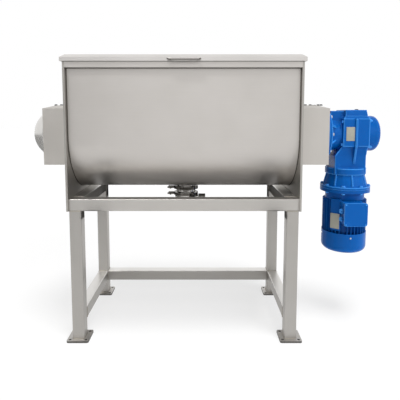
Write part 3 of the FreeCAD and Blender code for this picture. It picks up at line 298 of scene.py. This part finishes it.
# zinc-plated steel: bright, faintly blue, with tumbled marks
ZINC = Plain("bright_zinc_plated_steel", colour="#C9CCD0", speckle_colour="#B4B8BE", roughness=0.3,
             metallic=1.0, speckle_mm=3.0)
BLACK_OXIDE = Plain("black_oxide_steel", colour="#0C0C0D", speckle_colour="#161617", roughness=0.5)
SILICONE = Plain("grey_silicone_extrusion", colour="#3B3A38", speckle_colour="#464542", roughness=0.7)
BEARING_IRON = Plain("painted_cast_iron", colour="#3F4348", speckle_colour="#4B5056", roughness=0.5,
                     speckle_mm=1.5, height=0.25)
ROTOR_STEEL = Plain("machined_carbon_steel", colour="#8A8A8C", speckle_colour="#77777A", roughness=0.35,
                    metallic=1.0)
# bare rating plate: matt anodised aluminium, nothing on it
BLANK_PLATE = Plain("matt_anodised_aluminium", colour="#AEADA0", speckle_colour="#93928A", roughness=0.4,
                    metallic=0.5, speckle_mm=4.0, height=0.02)
NYLON = Plain("moulded_black_nylon", colour="#17181A", speckle_colour="#222326", roughness=0.5)

NODE_FINISHES: dict[Finish, tuple[str, ...]] = {
    TUBE_Z: ("front_leg_left", "front_leg_right", "rear_leg_left", "rear_leg_right"),
    TUBE_X: ("top_rail_front",),
    STRETCHER: ("stretcher_rear",),
    TUBE_Y: ("top_rail_left", "top_rail_right", "stretcher_left", "stretcher_right"),
    FOOT_PLATE: ("front_foot_left", "front_foot_right", "rear_foot_left", "rear_foot_right"),
    TROUGH_SHEET: ("trough_shell",),
    END_SHEET: ("end_plate_left", "end_plate_right"),
    SILICONE: ("lid_gasket",),
    LID_SHEET: ("lid_panel",),
    POLISHED: ("lid_handle", "hinge_left", "hinge_right", "outlet_spout", "outlet_spool", "valve_body",
               "valve_disc"),
    CLAMP: ("upper_clamp", "lower_clamp", "valve_lever"),
    RIBBON: ("outer_ribbon_a", "outer_ribbon_b", "inner_ribbon_a", "inner_ribbon_b"),
    SHAFT: ("main_shaft", "shaft_seal_left", "shaft_seal_right",
            *(f"spoke_{side}_{number}" for side in ("left", "right") for number in (1, 2, 3, 4))),
    BOX_SHEET: ("bearing_box_left", "bearing_box_right", "box_cover_left", "box_cover_right"),
    BEARING_IRON: ("bearing_left", "bearing_right"),
    SPUN_DOME: ("dome_cap",),
    CAST_BLUE: ("gear_housing", "gear_top_cover", "motor_adapter", "terminal_box"),
    TURNED_BLUE: ("gear_end_cover",),
    FIN_BLUE: ("motor_frame",),
    SHEET_BLUE: ("fan_cover",),
    ROTOR_STEEL: ("motor_rotor",),
}


# ------------------------------------------------------------------ mesh helpers
def centre_of(node: str) -> Vector:
    """Return the middle of a CAD node's box at rest."""
    low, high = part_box(node)
    return (low + high) / 2


def aimed(at: Vector, axis: Vector) -> Matrix:
    """Return the matrix that moves the origin to a point and turns Z to an axis.

    Args:
        at: Point in metres.
        axis: Direction that local Z gets.

    Returns:
        The 4 by 4 matrix.
    """
    return Matrix.Translation(at) @ axis.to_track_quat("Z", "Y").to_matrix().to_4x4()


def edges_of(verts: Iterable[bmesh.types.BMVert]) -> list[bmesh.types.BMEdge]:
    """Return every edge that touches the given vertices, once each."""
    return list({edge for vert in verts for edge in vert.link_edges})


def add_disc(mesh: bmesh.types.BMesh, place: Matrix, radius: float, height: float, segments: int = 24,
             bevel: float = 0.0, top_radius: float | None = None) -> list[bmesh.types.BMVert]:
    """Add a closed disc, cone or prism that stands on a plane.

    Args:
        mesh: Mesh that gets it.
        place: Matrix of the base plane; the disc rises along its Z.
        radius: Radius at the base.
        height: Height above the base.
        segments: Sides of the outline; 6 makes a hexagon.
        bevel: Width of the rounding on its edges.
        top_radius: Radius at the top, if it differs.

    Returns:
        The new vertices, before the rounding.
    """
    made = bmesh.ops.create_cone(mesh, cap_ends=True, segments=segments, radius1=radius,
                                 radius2=radius if top_radius is None else top_radius, depth=height,
                                 matrix=place @ Matrix.Translation((0, 0, height / 2)))["verts"]
    if bevel:
        bmesh.ops.bevel(mesh, geom=edges_of(made), offset=bevel, segments=2, profile=0.5, affect="EDGES",
                        material=-1)
    return made


def add_block(mesh: bmesh.types.BMesh, low: Vector, high: Vector, bevel: float = 0.0,
              turn: Matrix | None = None) -> None:
    """Add a block with rounded edges.

    Args:
        mesh: Mesh that gets it.
        low: Lowest corner in metres.
        high: Highest corner in metres.
        bevel: Width of the rounding.
        turn: Matrix that carries the finished block to its place.
    """
    size = high - low
    place = Matrix.Translation((low + high) / 2) @ Matrix.Diagonal((*size, 1.0))
    made = bmesh.ops.create_cube(mesh, size=1.0, matrix=(turn or Matrix.Identity(4)) @ place)["verts"]
    if bevel:
        bmesh.ops.bevel(mesh, geom=edges_of(made), offset=bevel, segments=3, profile=0.5, affect="EDGES",
                        material=-1)


def add_bolt(mesh: bmesh.types.BMesh, at: Vector, axis: Vector, size: float, washer: bool = True) -> None:
    """Add a hexagon bolt head, with the thread's end left inside the joint.

    Args:
        mesh: Mesh that gets it.
        at: Point on the clamped face, in metres.
        axis: Direction that the head points.
        size: Thread diameter in metres; head and washer follow from it.
        washer: Whether a flat washer lies under the head.
    """
    rise = 0.0
    if washer:
        rise = 0.18 * size
        add_disc(mesh, aimed(at, axis), 1.1 * size, rise, 20)
    add_disc(mesh, aimed(at + axis * rise, axis), 0.93 * size, 0.62 * size, 6, 0.06 * size)


def add_weld(mesh: bmesh.types.BMesh, start: Vector, end: Vector, size: float) -> None:
    """Add a rippled weld bead between two points.

    Args:
        mesh: Mesh that gets it.
        start: First point in metres.
        end: Last point in metres.
        size: Radius of the bead.
    """
    run = end - start
    steps = max(2, round(run.length / (1.6 * size)))
    ring = bmesh.ops.create_circle(mesh, segments=8, radius=0.75 * size, cap_ends=True,
                                   matrix=aimed(start, run.normalized()))["verts"]
    edges = edges_of(ring)
    for step in range(1, steps + 1):
        grown = bmesh.ops.extrude_edge_only(mesh, edges=edges)["geom"]
        verts = [g for g in grown if isinstance(g, bmesh.types.BMVert)]
        bmesh.ops.translate(mesh, verts=verts, vec=run / steps)
        here = start + run * (step / steps)
        scale = 1.25 if step % 2 else 0.8
        bmesh.ops.scale(mesh, verts=verts, vec=(scale, scale, scale), space=Matrix.Translation(-here))
        edges = [g for g in grown if isinstance(g, bmesh.types.BMEdge)
                 and all(vert in verts for vert in g.verts)]
    bmesh.ops.edgeloop_fill(mesh, edges=edges)


def hand_over(mesh: bmesh.types.BMesh, name: str, finish: Finish, body: Body = Body.MACHINE,
              sharp_deg: float = 38.0) -> bpy.types.Object:
    """Turn a finished bmesh into a named piece that rides on its body.

    Args:
        mesh: Mesh in row-frame metres; it is freed.
        name: Name of the piece.
        finish: Finish that it gets.
        body: Body that it rides on.
        sharp_deg: Angle above which an edge stays crisp.

    Returns:
        The new object, at the origin with its place in its mesh.
    """
    bmesh.ops.recalc_face_normals(mesh, faces=mesh.faces)
    data = bpy.data.meshes.new(name)
    mesh.to_mesh(data)
    mesh.free()
    data.shade_smooth()
    data.set_sharp_from_angle(angle=math.radians(sharp_deg))
    data.materials.append(finish.material())
    piece = bpy.data.objects.new(name, data)
    bpy.context.scene.collection.objects.link(piece)
    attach(piece, body.value)
    LOG.info("built %s with %d faces on %s", name, len(data.polygons), body.value)
    return piece


def merged_copy(*nodes: str) -> bmesh.types.BMesh:
    """Return a merged bmesh of one or more CAD nodes, ready for more work."""
    mesh = bmesh.new()
    for node in nodes:
        mesh.from_mesh(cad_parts[node].data)
    bmesh.ops.remove_doubles(mesh, verts=mesh.verts, dist=0.005 * MM)
    return mesh


def soften(piece: bpy.types.Object, voxel: float, passes: int) -> None:
    """Round every edge of a casting as a sand mould does.

    Args:
        piece: The piece.
        voxel: Grid size of the remesh in metres.
        passes: Smoothing passes.
    """
    remesh = piece.modifiers.new("cast_skin", "REMESH")
    remesh.mode = "VOXEL"
    remesh.voxel_size = voxel
    remesh.use_smooth_shade = True
    smooth = piece.modifiers.new("cast_radii", "SMOOTH")
    smooth.factor = 0.5
    smooth.iterations = passes


def round_edges(piece: bpy.types.Object, width: float, angle_deg: float = 35.0) -> None:
    """Give a piece's crisp edges a small radius that catches the light."""
    bevel = piece.modifiers.new("edge_radius", "BEVEL")
    bevel.width = width
    bevel.segments = 3
    bevel.limit_method = "ANGLE"
    bevel.angle_limit = math.radians(angle_deg)
    bevel.harden_normals = True


def second_finish(piece: bpy.types.Object, finish: Finish, *directions: Vector) -> None:
    """Give the faces that look in the given directions another finish.

    Args:
        piece: The piece; it already has its first finish.
        finish: The finish of those faces.
        directions: Where they look.
    """
    piece.data.materials.append(finish.material())
    for face in piece.data.polygons:
        if any(face.normal.dot(direction) > 0.7 for direction in directions):
            face.material_index = len(piece.data.materials) - 1


# ------------------------------------------------------------------ sub-assemblies
@dataclass
class Stand:
    """Welded stand of square tube: its fillet welds at every joint."""

    bead: float = 3.0 * MM
    tube: float = 60 * MM

    def build(self) -> None:
        """Build the weld beads of the stand."""
        mesh = bmesh.new()
        for side in ("left", "right"):
            for end in ("front", "rear"):
                self.foot_welds(mesh, f"{end}_leg_{side}", f"{end}_foot_{side}")
            self.bar_welds(mesh, f"top_rail_{side}", 1)
            self.bar_welds(mesh, f"stretcher_{side}", 1)
        self.bar_welds(mesh, "stretcher_rear", 0)
        for side in ("left", "right"):
            low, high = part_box(f"front_leg_{side}")
            self.frame_weld(mesh, low, high, 2, high.z)
        hand_over(mesh, "stand_welds", WELD)

    def foot_welds(self, mesh: bmesh.types.BMesh, leg: str, foot: str) -> None:
        """Add the bead where a leg stands on its foot plate."""
        low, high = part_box(leg)
        self.frame_weld(mesh, low, high, 2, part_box(foot)[1].z)

    def bar_welds(self, mesh: bmesh.types.BMesh, bar: str, axis: int) -> None:
        """Add the beads round both ends of a cross bar."""
        low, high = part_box(bar)
        for level in (low[axis], high[axis]):
            self.frame_weld(mesh, low, high, axis, level)

    def frame_weld(self, mesh: bmesh.types.BMesh, low: Vector, high: Vector, axis: int,
                   level: float) -> None:
        """Add four beads round a square section at a level of one axis.

        Args:
            mesh: Mesh that gets them.
            low: Lowest corner of the tube.
            high: Highest corner of the tube.
            axis: Axis that the section is square to.
            level: Place of the section on that axis.
        """
        first, second = [a for a in range(3) if a != axis]
        corners = []
        for a, b in ((0, 0), (1, 0), (1, 1), (0, 1)):
            point = Vector((0, 0, 0))
            point[axis] = level
            point[first] = (low, high)[a][first]
            point[second] = (low, high)[b][second]
            corners.append(point)
        for number in range(4):
            start, end = corners[number], corners[(number + 1) % 4]
            inset = (end - start).normalized() * self.bead
            add_weld(mesh, start + inset, end - inset, self.bead)


@dataclass
class Trough:
    """Trough body: seams where the bent sheet meets the end plates and the rim."""

    bead: float = 3.0 * MM
    radius: float = 286 * MM
    shaft_height: float = 1034 * MM
    rim_drop: float = 27 * MM

    def build(self) -> None:
        """Build the outer seams of both ends and those under the rim."""
        for side, inward in (("left", 1), ("right", -1)):
            mesh = bmesh.new()
            low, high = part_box(f"end_plate_{side}")
            station = high.x if side == "left" else low.x
            # the seam's dark tint is painted shadow along the joint with the end plate
            self.seam(mesh, station + inward * 0.5 * self.bead, high.z - self.rim_drop)
            hand_over(mesh, f"trough_seam_{side}", SEAM)
        low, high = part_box("trough_shell")
        for face, side in ((-1, "front"), (1, "rear")):
            mesh = bmesh.new()
            # dark seam under the rim: painted shadow
            at = Vector((low.x, face * self.radius, high.z - self.rim_drop - 0.5 * self.bead))
            add_weld(mesh, at + Vector((6 * MM, 0, 0)), Vector((high.x - 6 * MM, at.y, at.z)), 0.8 * self.bead)
            hand_over(mesh, f"rim_seam_{side}", SEAM)

    def seam(self, mesh: bmesh.types.BMesh, station: float, top: float) -> None:
        """Add a U-shaped bead that follows the outside of the sheet.

        Args:
            mesh: Mesh that gets it.
            station: Place along the shaft.
            top: Height of the bead's upper ends.
        """
        for side in (-1, 1):
            add_weld(mesh, Vector((station, side * self.radius, top)),
                     Vector((station, side * self.radius, self.shaft_height)), self.bead)
        turns = 36
        points = [Vector((station, -self.radius * math.cos(math.pi * n / turns),
                          self.shaft_height - self.radius * math.sin(math.pi * n / turns)))
                  for n in range(turns + 1)]
        for start, end in zip(points, points[1:]):
            add_weld(mesh, start, end, self.bead)


@dataclass
class Lid:
    """Lid with its welded grip and hinge screws."""

    screw: float = 6 * MM

    def build(self) -> None:
        """Build the grip with rounded edges and the hinge screws."""
        grip = hand_over(merged_copy("lid_handle"), "lid_grip", CLAMP, Body.LID)
        round_edges(grip, 1.5 * MM)
        # painted shade on the grip's underside
        second_finish(grip, MILL, -UP)
        # painted light on the grip's top
        second_finish(grip, TUBE_TOP, UP)
        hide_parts("lid_handle")
        mesh = bmesh.new()
        for side in ("left", "right"):
            low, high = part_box(f"hinge_{side}")
            middle = (low.x + high.x) / 2
            shift = -1 if side == "left" else 1
            for step in (-1, 1):
                at = Vector((middle + shift * 18 * MM + step * 10 * MM, low.y + self.screw, low.z + 11 * MM))
                add_disc(mesh, aimed(at, Vector((0, 1, 0))), self.screw, 3 * MM, 20, 0.8 * MM)
        hand_over(mesh, "hinge_screws", ZINC)


@dataclass
class BearingBoxes:
    """Bearing boxes: dark bolts on the covers beside the end plates."""

    bolt: float = 8 * MM
    rows: dict[str, tuple[float, ...]] = field(default_factory=lambda: {
        "left": (-696 * MM, -667 * MM), "right": (646 * MM, 671 * MM, 714 * MM, 730 * MM)})

    def build(self) -> None:
        """Build the cover bolts of both boxes."""
        for side, stations in self.rows.items():
            mesh = bmesh.new()
            low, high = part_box(f"box_cover_{side}")
            for station in stations:
                for depth in (-1, 1):
                    at = Vector((station, depth * 60 * MM, high.z - 1 * MM))
                    add_bolt(mesh, at, UP, self.bolt)
            hand_over(mesh, f"box_bolts_{side}", BLACK_OXIDE)


@dataclass
class Gearbox:
    """Cast bevel gearbox: softened castings, bolts, breather and blank plate."""

    flange_bolt_circle: float = 128 * MM
    flange_bolt: float = 10 * MM
    case_bolt: float = 8 * MM
    cover_bolt: float = 7 * MM
    cover_boss: float = 18 * MM
    cover_bolt_circle: float = 98 * MM
    breather_x: float = 945 * MM
    plate_low: Vector = field(default_factory=lambda: Vector((857, 0, 998)) * MM)
    plate_high: Vector = field(default_factory=lambda: Vector((903, 0, 1072)) * MM)

    def build(self) -> None:
        """Build every piece of the gearbox."""
        self.casting()
        self.cover_casting()
        self.bolts()
        self.plate()
        self.breather()

    def casting(self) -> None:
        """Replace the housing by a casting with moulded radii."""
        piece = hand_over(merged_copy("gear_housing"), "gear_casting", CAST_BLUE, sharp_deg=180.0)
        soften(piece, 3.0 * MM, 3)
        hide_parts("gear_housing")

    def cover_casting(self) -> None:
        """Replace the top cover by one with softened edges."""
        piece = hand_over(merged_copy("gear_top_cover"), "gear_lid_casting", CAST_BLUE,
                          sharp_deg=180.0)
        soften(piece, 2.0 * MM, 4)
        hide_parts("gear_top_cover")

    def bolts(self) -> None:
        """Add the output flange, case and end cover bolts."""
        mesh = bmesh.new()
        low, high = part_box("gear_housing")
        shaft = centre_of("main_shaft").z
        face = low.x + 20 * MM
        for number in range(8):
            turn = math.radians(45 * number)
            at = Vector((face, -self.flange_bolt_circle * math.sin(turn),
                         shaft + self.flange_bolt_circle * math.cos(turn)))
            add_bolt(mesh, at, Vector((1, 0, 0)), self.flange_bolt)
        hand_over(mesh, "output_flange_bolts", ZINC)
        mesh = bmesh.new()
        for depth in (-1, 1):
            for level in (-56 * MM, 66 * MM):
                at = Vector((842 * MM, depth * 88 * MM, shaft + level))
                add_bolt(mesh, at, Vector((-1, 0, 0)), self.case_bolt)
        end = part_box("gear_end_cover")[0].x
        for number in range(4):
            turn = math.radians(45 + 90 * number)
            out = Vector((0, -math.sin(turn), math.cos(turn)))
            foot = Vector((end, 0, shaft)) + out * self.cover_bolt_circle
            at = foot + Vector((self.cover_boss, 0, 0))
            add_disc(mesh, aimed(foot, Vector((1, 0, 0))), 9 * MM, self.cover_boss, 16, 1 * MM)
            add_bolt(mesh, at, Vector((1, 0, 0)), self.cover_bolt, washer=False)
        hand_over(mesh, "gearbox_case_bolts", CAST_BLUE)

    def plate(self) -> None:
        """Add the bare rating plate with its four rivets."""
        mesh = bmesh.new()
        front = -101 * MM
        low = Vector((self.plate_low.x, front - 1.5 * MM, self.plate_low.z))
        high = Vector((self.plate_high.x, front + 1 * MM, self.plate_high.z))
        add_block(mesh, low, high, 0.4 * MM)
        for x in (low.x + 4 * MM, high.x - 4 * MM):
            for z in (low.z + 4 * MM, high.z - 4 * MM):
                add_disc(mesh, aimed(Vector((x, low.y, z)), Vector((0, -1, 0))), 1.8 * MM, 1 * MM, 12)
        hand_over(mesh, "gearbox_plate", BLANK_PLATE)

    def breather(self) -> None:
        """Add the vent plug on the top cover."""
        mesh = bmesh.new()
        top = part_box("gear_top_cover")[1].z
        at = Vector((self.breather_x, 0, top - 0.5 * MM))
        hexagon = 3 * MM
        add_disc(mesh, aimed(at, UP), 11 * MM, hexagon, 6, 0.6 * MM)
        add_disc(mesh, aimed(at + UP * hexagon, UP), 8 * MM, 2 * MM, 20, 0.6 * MM)
        hand_over(mesh, "gear_breather", NYLON)


@dataclass
class Motor:
    """Flange motor: cast adapter, bolts, terminal box, cable entries and blank plate."""

    axis_x: float = 893 * MM
    flange_bolt_circle: float = 122 * MM
    flange_bolt: float = 10 * MM
    flange_pair: float = 33 * MM  # the adapter's and the motor's flange together

    def build(self) -> None:
        """Build every piece of the motor."""
        self.adapter()
        self.flange_bolts()
        self.terminal_box()
        self.plate()
        self.fan_screws()

    def adapter(self) -> None:
        """Replace the adapter by the same casting with rounded edges."""
        piece = hand_over(merged_copy("motor_adapter"), "adapter_casting", CAST_BLUE,
                          sharp_deg=180.0)
        soften(piece, 2.5 * MM, 3)
        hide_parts("motor_adapter")

    def flange_bolts(self) -> None:
        """Add the bolts and nuts round the motor flange."""
        mesh = bmesh.new()
        low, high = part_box("motor_adapter")
        for number in range(8):
            turn = math.radians(22.5 + 45 * number)
            out = Vector((math.cos(turn), math.sin(turn), 0)) * self.flange_bolt_circle
            top = Vector((self.axis_x, 0, low.z + self.flange_pair / 2)) + out
            add_bolt(mesh, top, UP, self.flange_bolt)
            add_bolt(mesh, top - UP * self.flange_pair, -UP, self.flange_bolt)
        hand_over(mesh, "motor_flange_bolts", CAST_BLUE)

    def terminal_box(self) -> None:
        """Replace the terminal box by a rounded casting with screws and cable entries."""
        piece = hand_over(merged_copy("terminal_box"), "terminal_casting", CAST_BLUE,
                          sharp_deg=180.0)
        soften(piece, 2.0 * MM, 5)
        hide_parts("terminal_box")
        low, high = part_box("terminal_box")
        mesh = bmesh.new()
        for x in (low.x + 9 * MM, high.x - 9 * MM):
            for z in (low.z + 9 * MM, high.z - 9 * MM):
                add_disc(mesh, aimed(Vector((x, low.y + 0.5 * MM, z)), Vector((0, -1, 0))), 4 * MM, 2.5 * MM, 16,
                         0.6 * MM)
        hand_over(mesh, "terminal_screws", CAST_BLUE)
        mesh = bmesh.new()
        for z in (low.z + 30 * MM, low.z + 72 * MM):
            at = Vector((low.x + 2 * MM, low.y + 44 * MM, z))
            add_disc(mesh, aimed(at, Vector((-1, 0, 0))), 14 * MM, 5 * MM, 24, 0.8 * MM)
            add_disc(mesh, aimed(at + Vector((-5 * MM, 0, 0)), Vector((-1, 0, 0))), 11 * MM, 8 * MM, 6, 1 * MM)
        hand_over(mesh, "cable_entry_plugs", CAST_BLUE)

    def plate(self) -> None:
        """Add the flat pad over the fins on the left of the terminal box and its bare rating plate."""
        turn = Matrix.Translation((self.axis_x, 0, 0)) @ Matrix.Rotation(math.radians(-42), 4, "Z")
        mesh = bmesh.new()
        add_block(mesh, Vector((-27, -117.5, 508)) * MM, Vector((27, -100, 682)) * MM, 2 * MM, turn)
        hand_over(mesh, "motor_plate_pad", FIN_BLUE)
        mesh = bmesh.new()
        add_block(mesh, Vector((-25, -121, 519)) * MM, Vector((25, -117, 602)) * MM, 0.6 * MM, turn)
        for x in (-21, 21):
            for z in (523, 598):
                at = turn @ (Vector((x, -121, z)) * MM)
                out = (turn.to_3x3() @ Vector((0, -1, 0))).normalized()
                add_disc(mesh, aimed(at, out), 1.8 * MM, 1 * MM, 12)
        hand_over(mesh, "motor_plate", BLANK_PLATE)

    def fan_screws(self) -> None:
        """Add the four screws that hold the fan cover."""
        mesh = bmesh.new()
        for number in range(4):
            turn = math.radians(-91 + 90 * number)
            out = Vector((math.cos(turn), math.sin(turn), 0))
            at = Vector((self.axis_x, 0, 472 * MM)) + out * 119.5 * MM
            add_disc(mesh, aimed(at, out), 5 * MM, 3 * MM, 16, 0.8 * MM)
        hand_over(mesh, "fan_cover_screws", ZINC)


@dataclass
class Outlet:
    """Discharge fittings with rounded clamps and lever."""

    def build(self) -> None:
        """Replace the clamps and the lever by pieces with rolled edges."""
        for node, name, body, width in (("upper_clamp", "upper_clamp_rolled", Body.MACHINE, 1.2),
                                        ("lower_clamp", "lower_clamp_rolled", Body.MACHINE, 1.2),
                                        ("valve_lever", "valve_lever_rounded", Body.VALVE, 2.5)):
            piece = hand_over(merged_copy(node), name, CLAMP, body)
            round_edges(piece, width * MM)
            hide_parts(node)


@dataclass
class Agitator:
    """Agitator: the ring welds where each spoke enters the shaft."""

    bead: float = 3.0 * MM

    def build(self) -> None:
        """Build the ring welds of all the spokes."""
        mesh = bmesh.new()
        shaft = centre_of("main_shaft").z
        pitch, segments = 552 * MM, 20
        for side in (-1, 1):
            for step in range(4):
                fraction = (2 * step + 1) / 8.0
                turn = 2 * math.pi * fraction
                out = Vector((0, math.sin(turn), -math.cos(turn)))
                for way in (-1, 1):
                    at = Vector((side * pitch * fraction, 0, shaft)) + out * way * 44 * MM
                    add_disc(mesh, aimed(at, out * way), 17 * MM, 4 * MM, segments, top_radius=13.6 * MM)
        hand_over(mesh, "spoke_welds", WELD, Body.AGITATOR)


# ------------------------------------------------------------------ studio
@dataclass
class Studio:
    """Floor, world, lamps and camera."""

    camera_at: Vector = field(default_factory=lambda: Vector((0.0787, -2.2605, 1.1385)))
    pitch_down_deg: float = 5.169
    lens_mm: float = 36.56
    shift_up: float = -0.122
    ambient: float = 0.27
    floor_lift: float = 0.66
    key_strength: float = 2.2
    key_turn_deg: tuple[float, float] = (14.0, 20.0)
    fill_strength: float = 1.9
    fill_turn_deg: tuple[float, float] = (72.0, 40.0)
    sparkle_strength: float = 1.3
    sparkle_turn_deg: tuple[float, float] = (36.0, -28.0)

    def build(self) -> None:
        """Build the whole studio."""
        self.floor()
        self.cards()
        self.world()
        self.lamps()
        self.camera()

    def floor(self) -> None:
        """Lay the pale floor: white in the open, to the camera and in the metal, with the shadow kept."""
        mesh = bmesh.new()
        bmesh.ops.create_grid(mesh, x_segments=1, y_segments=1, size=30.0)
        data = bpy.data.meshes.new("studio_floor")
        mesh.to_mesh(data)
        mesh.free()
        made = bpy.data.materials.new("matt_white_floor_paint")
        made.use_nodes = True
        tree = made.node_tree
        tree.nodes.clear()
        paint = add_node(tree, "ShaderNodeBsdfPrincipled", {"Base Color": linear("#FCFCFC"), "Roughness": 0.5,
                                                            "Specular IOR Level": 0.3})
        share = add_node(tree, "ShaderNodeMapRange", {"To Min": 0.0, "To Max": self.floor_lift},
                         {"Value": self.seen(tree)})
        white = add_node(tree, "ShaderNodeEmission", {"Color": linear("#FFFFFF"), "Strength": 1.0})
        mixed = add_node(tree, "ShaderNodeMixShader", links={0: share.outputs["Result"], 1: paint.outputs["BSDF"],
                                                             2: white.outputs["Emission"]})
        add_node(tree, "ShaderNodeOutputMaterial", links={"Surface": mixed.outputs["Shader"]})
        data.materials.append(made)
        floor = bpy.data.objects.new("studio_floor", data)
        bpy.context.scene.collection.objects.link(floor)

    def cards(self) -> None:
        """Hold grey cards beside and under the machine, which only the metal sees: painted shade in its
        reflections, darkening the trough's belly and lower corners and the dome.
        """
        light, middle, dark = (
            Plain(name, colour=colour, speckle_colour=colour, roughness=0.9)
            for name, colour in (("light_card", "#F0F0F0"), ("grey_card", "#B0B0B0"), ("dark_card", "#262626")))
        right, back = Vector((1, 0, 0)), Vector((0, 1, 0))
        self.card("back_card", Vector((0, 0.34, 0.68)), back, (0.5, 0.06), dark)
        self.card("belly_card", Vector((0, 0, 0.62)), UP, (0.42, 0.47), light)
        self.card("left_corner_card", Vector((-0.46, 0, 0.62)), UP, (0.04, 0.47), dark)
        self.card("right_corner_card", Vector((0.46, 0, 0.62)), UP, (0.04, 0.47), dark)
        self.card("dome_card", Vector((-1.4, 0.3, 0.53)), right, (0.9, 0.46), middle)
        self.card("left_card", Vector((-2.0, -2.4, 1.2)), back, (0.85, 1.2), light)

    def card(self, name: str, centre: Vector, facing: Vector, half_size: tuple[float, float],
             finish: Finish) -> None:
        """Hold up one card that only reflections see.

        Args:
            name: Name of the card.
            centre: Its middle.
            facing: Direction of its front.
            half_size: Half its width and half its height.
            finish: Its paper.
        """
        mesh = bmesh.new()
        bmesh.ops.create_grid(mesh, x_segments=1, y_segments=1, size=1.0,
                              matrix=aimed(centre, facing) @ Matrix.Diagonal((*half_size, 1.0, 1.0)))
        data = bpy.data.meshes.new(name)
        mesh.to_mesh(data)
        mesh.free()
        data.materials.append(finish.material())
        piece = bpy.data.objects.new(name, data)
        bpy.context.scene.collection.objects.link(piece)
        for ray in ("camera", "diffuse", "transmission", "shadow"):
            setattr(piece, f"visible_{ray}", False)

    @staticmethod
    def seen(tree: bpy.types.NodeTree) -> bpy.types.NodeSocket:
        """Return a socket that is 1 for what the eye meets directly, in the metal or through glass, else 0."""
        ray = add_node(tree, "ShaderNodeLightPath")
        share = add_node(tree, "ShaderNodeMath", {"operation": "MAXIMUM"},
                         {0: ray.outputs["Is Camera Ray"], 1: ray.outputs["Is Glossy Ray"]})
        share = add_node(tree, "ShaderNodeMath", {"operation": "MAXIMUM"},
                         {0: share.outputs["Value"], 1: ray.outputs["Is Transmission Ray"]})
        return share.outputs["Value"]

    def world(self) -> None:
        """White surroundings: full white to the camera and reflections, softer as light."""
        world = bpy.data.worlds.new("studio_world")
        bpy.context.scene.world = world
        world.use_nodes = True
        tree = world.node_tree
        tree.nodes.clear()
        strength = add_node(tree, "ShaderNodeMapRange", {"To Min": self.ambient, "To Max": 1.0},
                            {"Value": self.seen(tree)})
        glow = add_node(tree, "ShaderNodeBackground", {"Color": linear("#FFFFFF")},
                        {"Strength": strength.outputs["Result"]})
        add_node(tree, "ShaderNodeOutputWorld", links={"Surface": glow.outputs["Background"]})

    def lamps(self) -> None:
        """Hang a soft key overhead, a wide fill in front on the right and a small lamp only for highlights."""
        for name, strength, spread_deg, turn_deg, unseen in (
                ("soft_key", self.key_strength, 24.0, self.key_turn_deg, "visible_glossy"),
                ("front_fill", self.fill_strength, 50.0, self.fill_turn_deg, "visible_glossy"),
                ("sparkle", self.sparkle_strength, 10.0, self.sparkle_turn_deg, "visible_diffuse")):
            lamp = bpy.data.lights.new(name, "SUN")
            lamp.energy = strength
            lamp.angle = math.radians(spread_deg)
            holder = bpy.data.objects.new(name, lamp)
            tilt, turn = (math.radians(angle) for angle in turn_deg)
            holder.rotation_euler = (tilt, 0.0, turn)
            setattr(holder, unseen, False)
            bpy.context.scene.collection.objects.link(holder)

    def camera(self) -> None:
        """Set the camera at eye height before the trough, looking slightly down."""
        lens = bpy.data.cameras.new("camera")
        lens.lens = self.lens_mm
        lens.sensor_width = 36.0
        lens.shift_y = self.shift_up
        lens.clip_end = 100.0
        holder = bpy.data.objects.new("camera", lens)
        holder.location = self.camera_at
        holder.rotation_euler = (math.radians(90.0 - self.pitch_down_deg), 0.0, 0.0)
        bpy.context.scene.collection.objects.link(holder)
        bpy.context.scene.camera = holder
        bpy.context.scene.view_settings.view_transform = "Standard"


# ------------------------------------------------------------------ whole scene
def clear_start_objects() -> None:
    """Remove the cube, lamp and camera that an empty file starts with."""
    for name in ("Cube", "Light", "Camera"):
        if name in bpy.data.objects:
            bpy.data.objects.remove(bpy.data.objects[name])


def dress_nodes() -> None:
    """Give each CAD node its finish, the tubes painted light on their tops and the foot plates dark edges, cut
    oxide and painted shade.
    """
    for finish, nodes in NODE_FINISHES.items():
        for name in nodes:
            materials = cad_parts[name].data.materials
            materials.clear()
            materials.append(finish.material())
    # painted light: lighter tops on the rear stretcher and the crosswise tubes
    for name in ("stretcher_rear", *NODE_FINISHES[TUBE_Y]):
        second_finish(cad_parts[name], TUBE_TOP, UP)
    # dark edges of the foot plates: oxide of the cut and painted shade
    for name in NODE_FINISHES[FOOT_PLATE]:
        second_finish(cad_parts[name], MILL, *SIDEWAYS)
    missing = set(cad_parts) - {name for nodes in NODE_FINISHES.values() for name in nodes}
    if missing:
        raise RuntimeError(f"nodes without a finish: {sorted(missing)}")


def main() -> None:
    """Build the scene in order."""
    logging.basicConfig(level=logging.INFO, format="%(name)s: %(message)s")
    clear_start_objects()
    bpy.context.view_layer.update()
    dress_nodes()
    for part in (Stand(), Trough(), Lid(), BearingBoxes(), Gearbox(), Motor(), Outlet(), Agitator(), Studio()):
        part.build()
        LOG.info("finished %s", type(part).__name__)


if __name__ == "__main__":
    main()
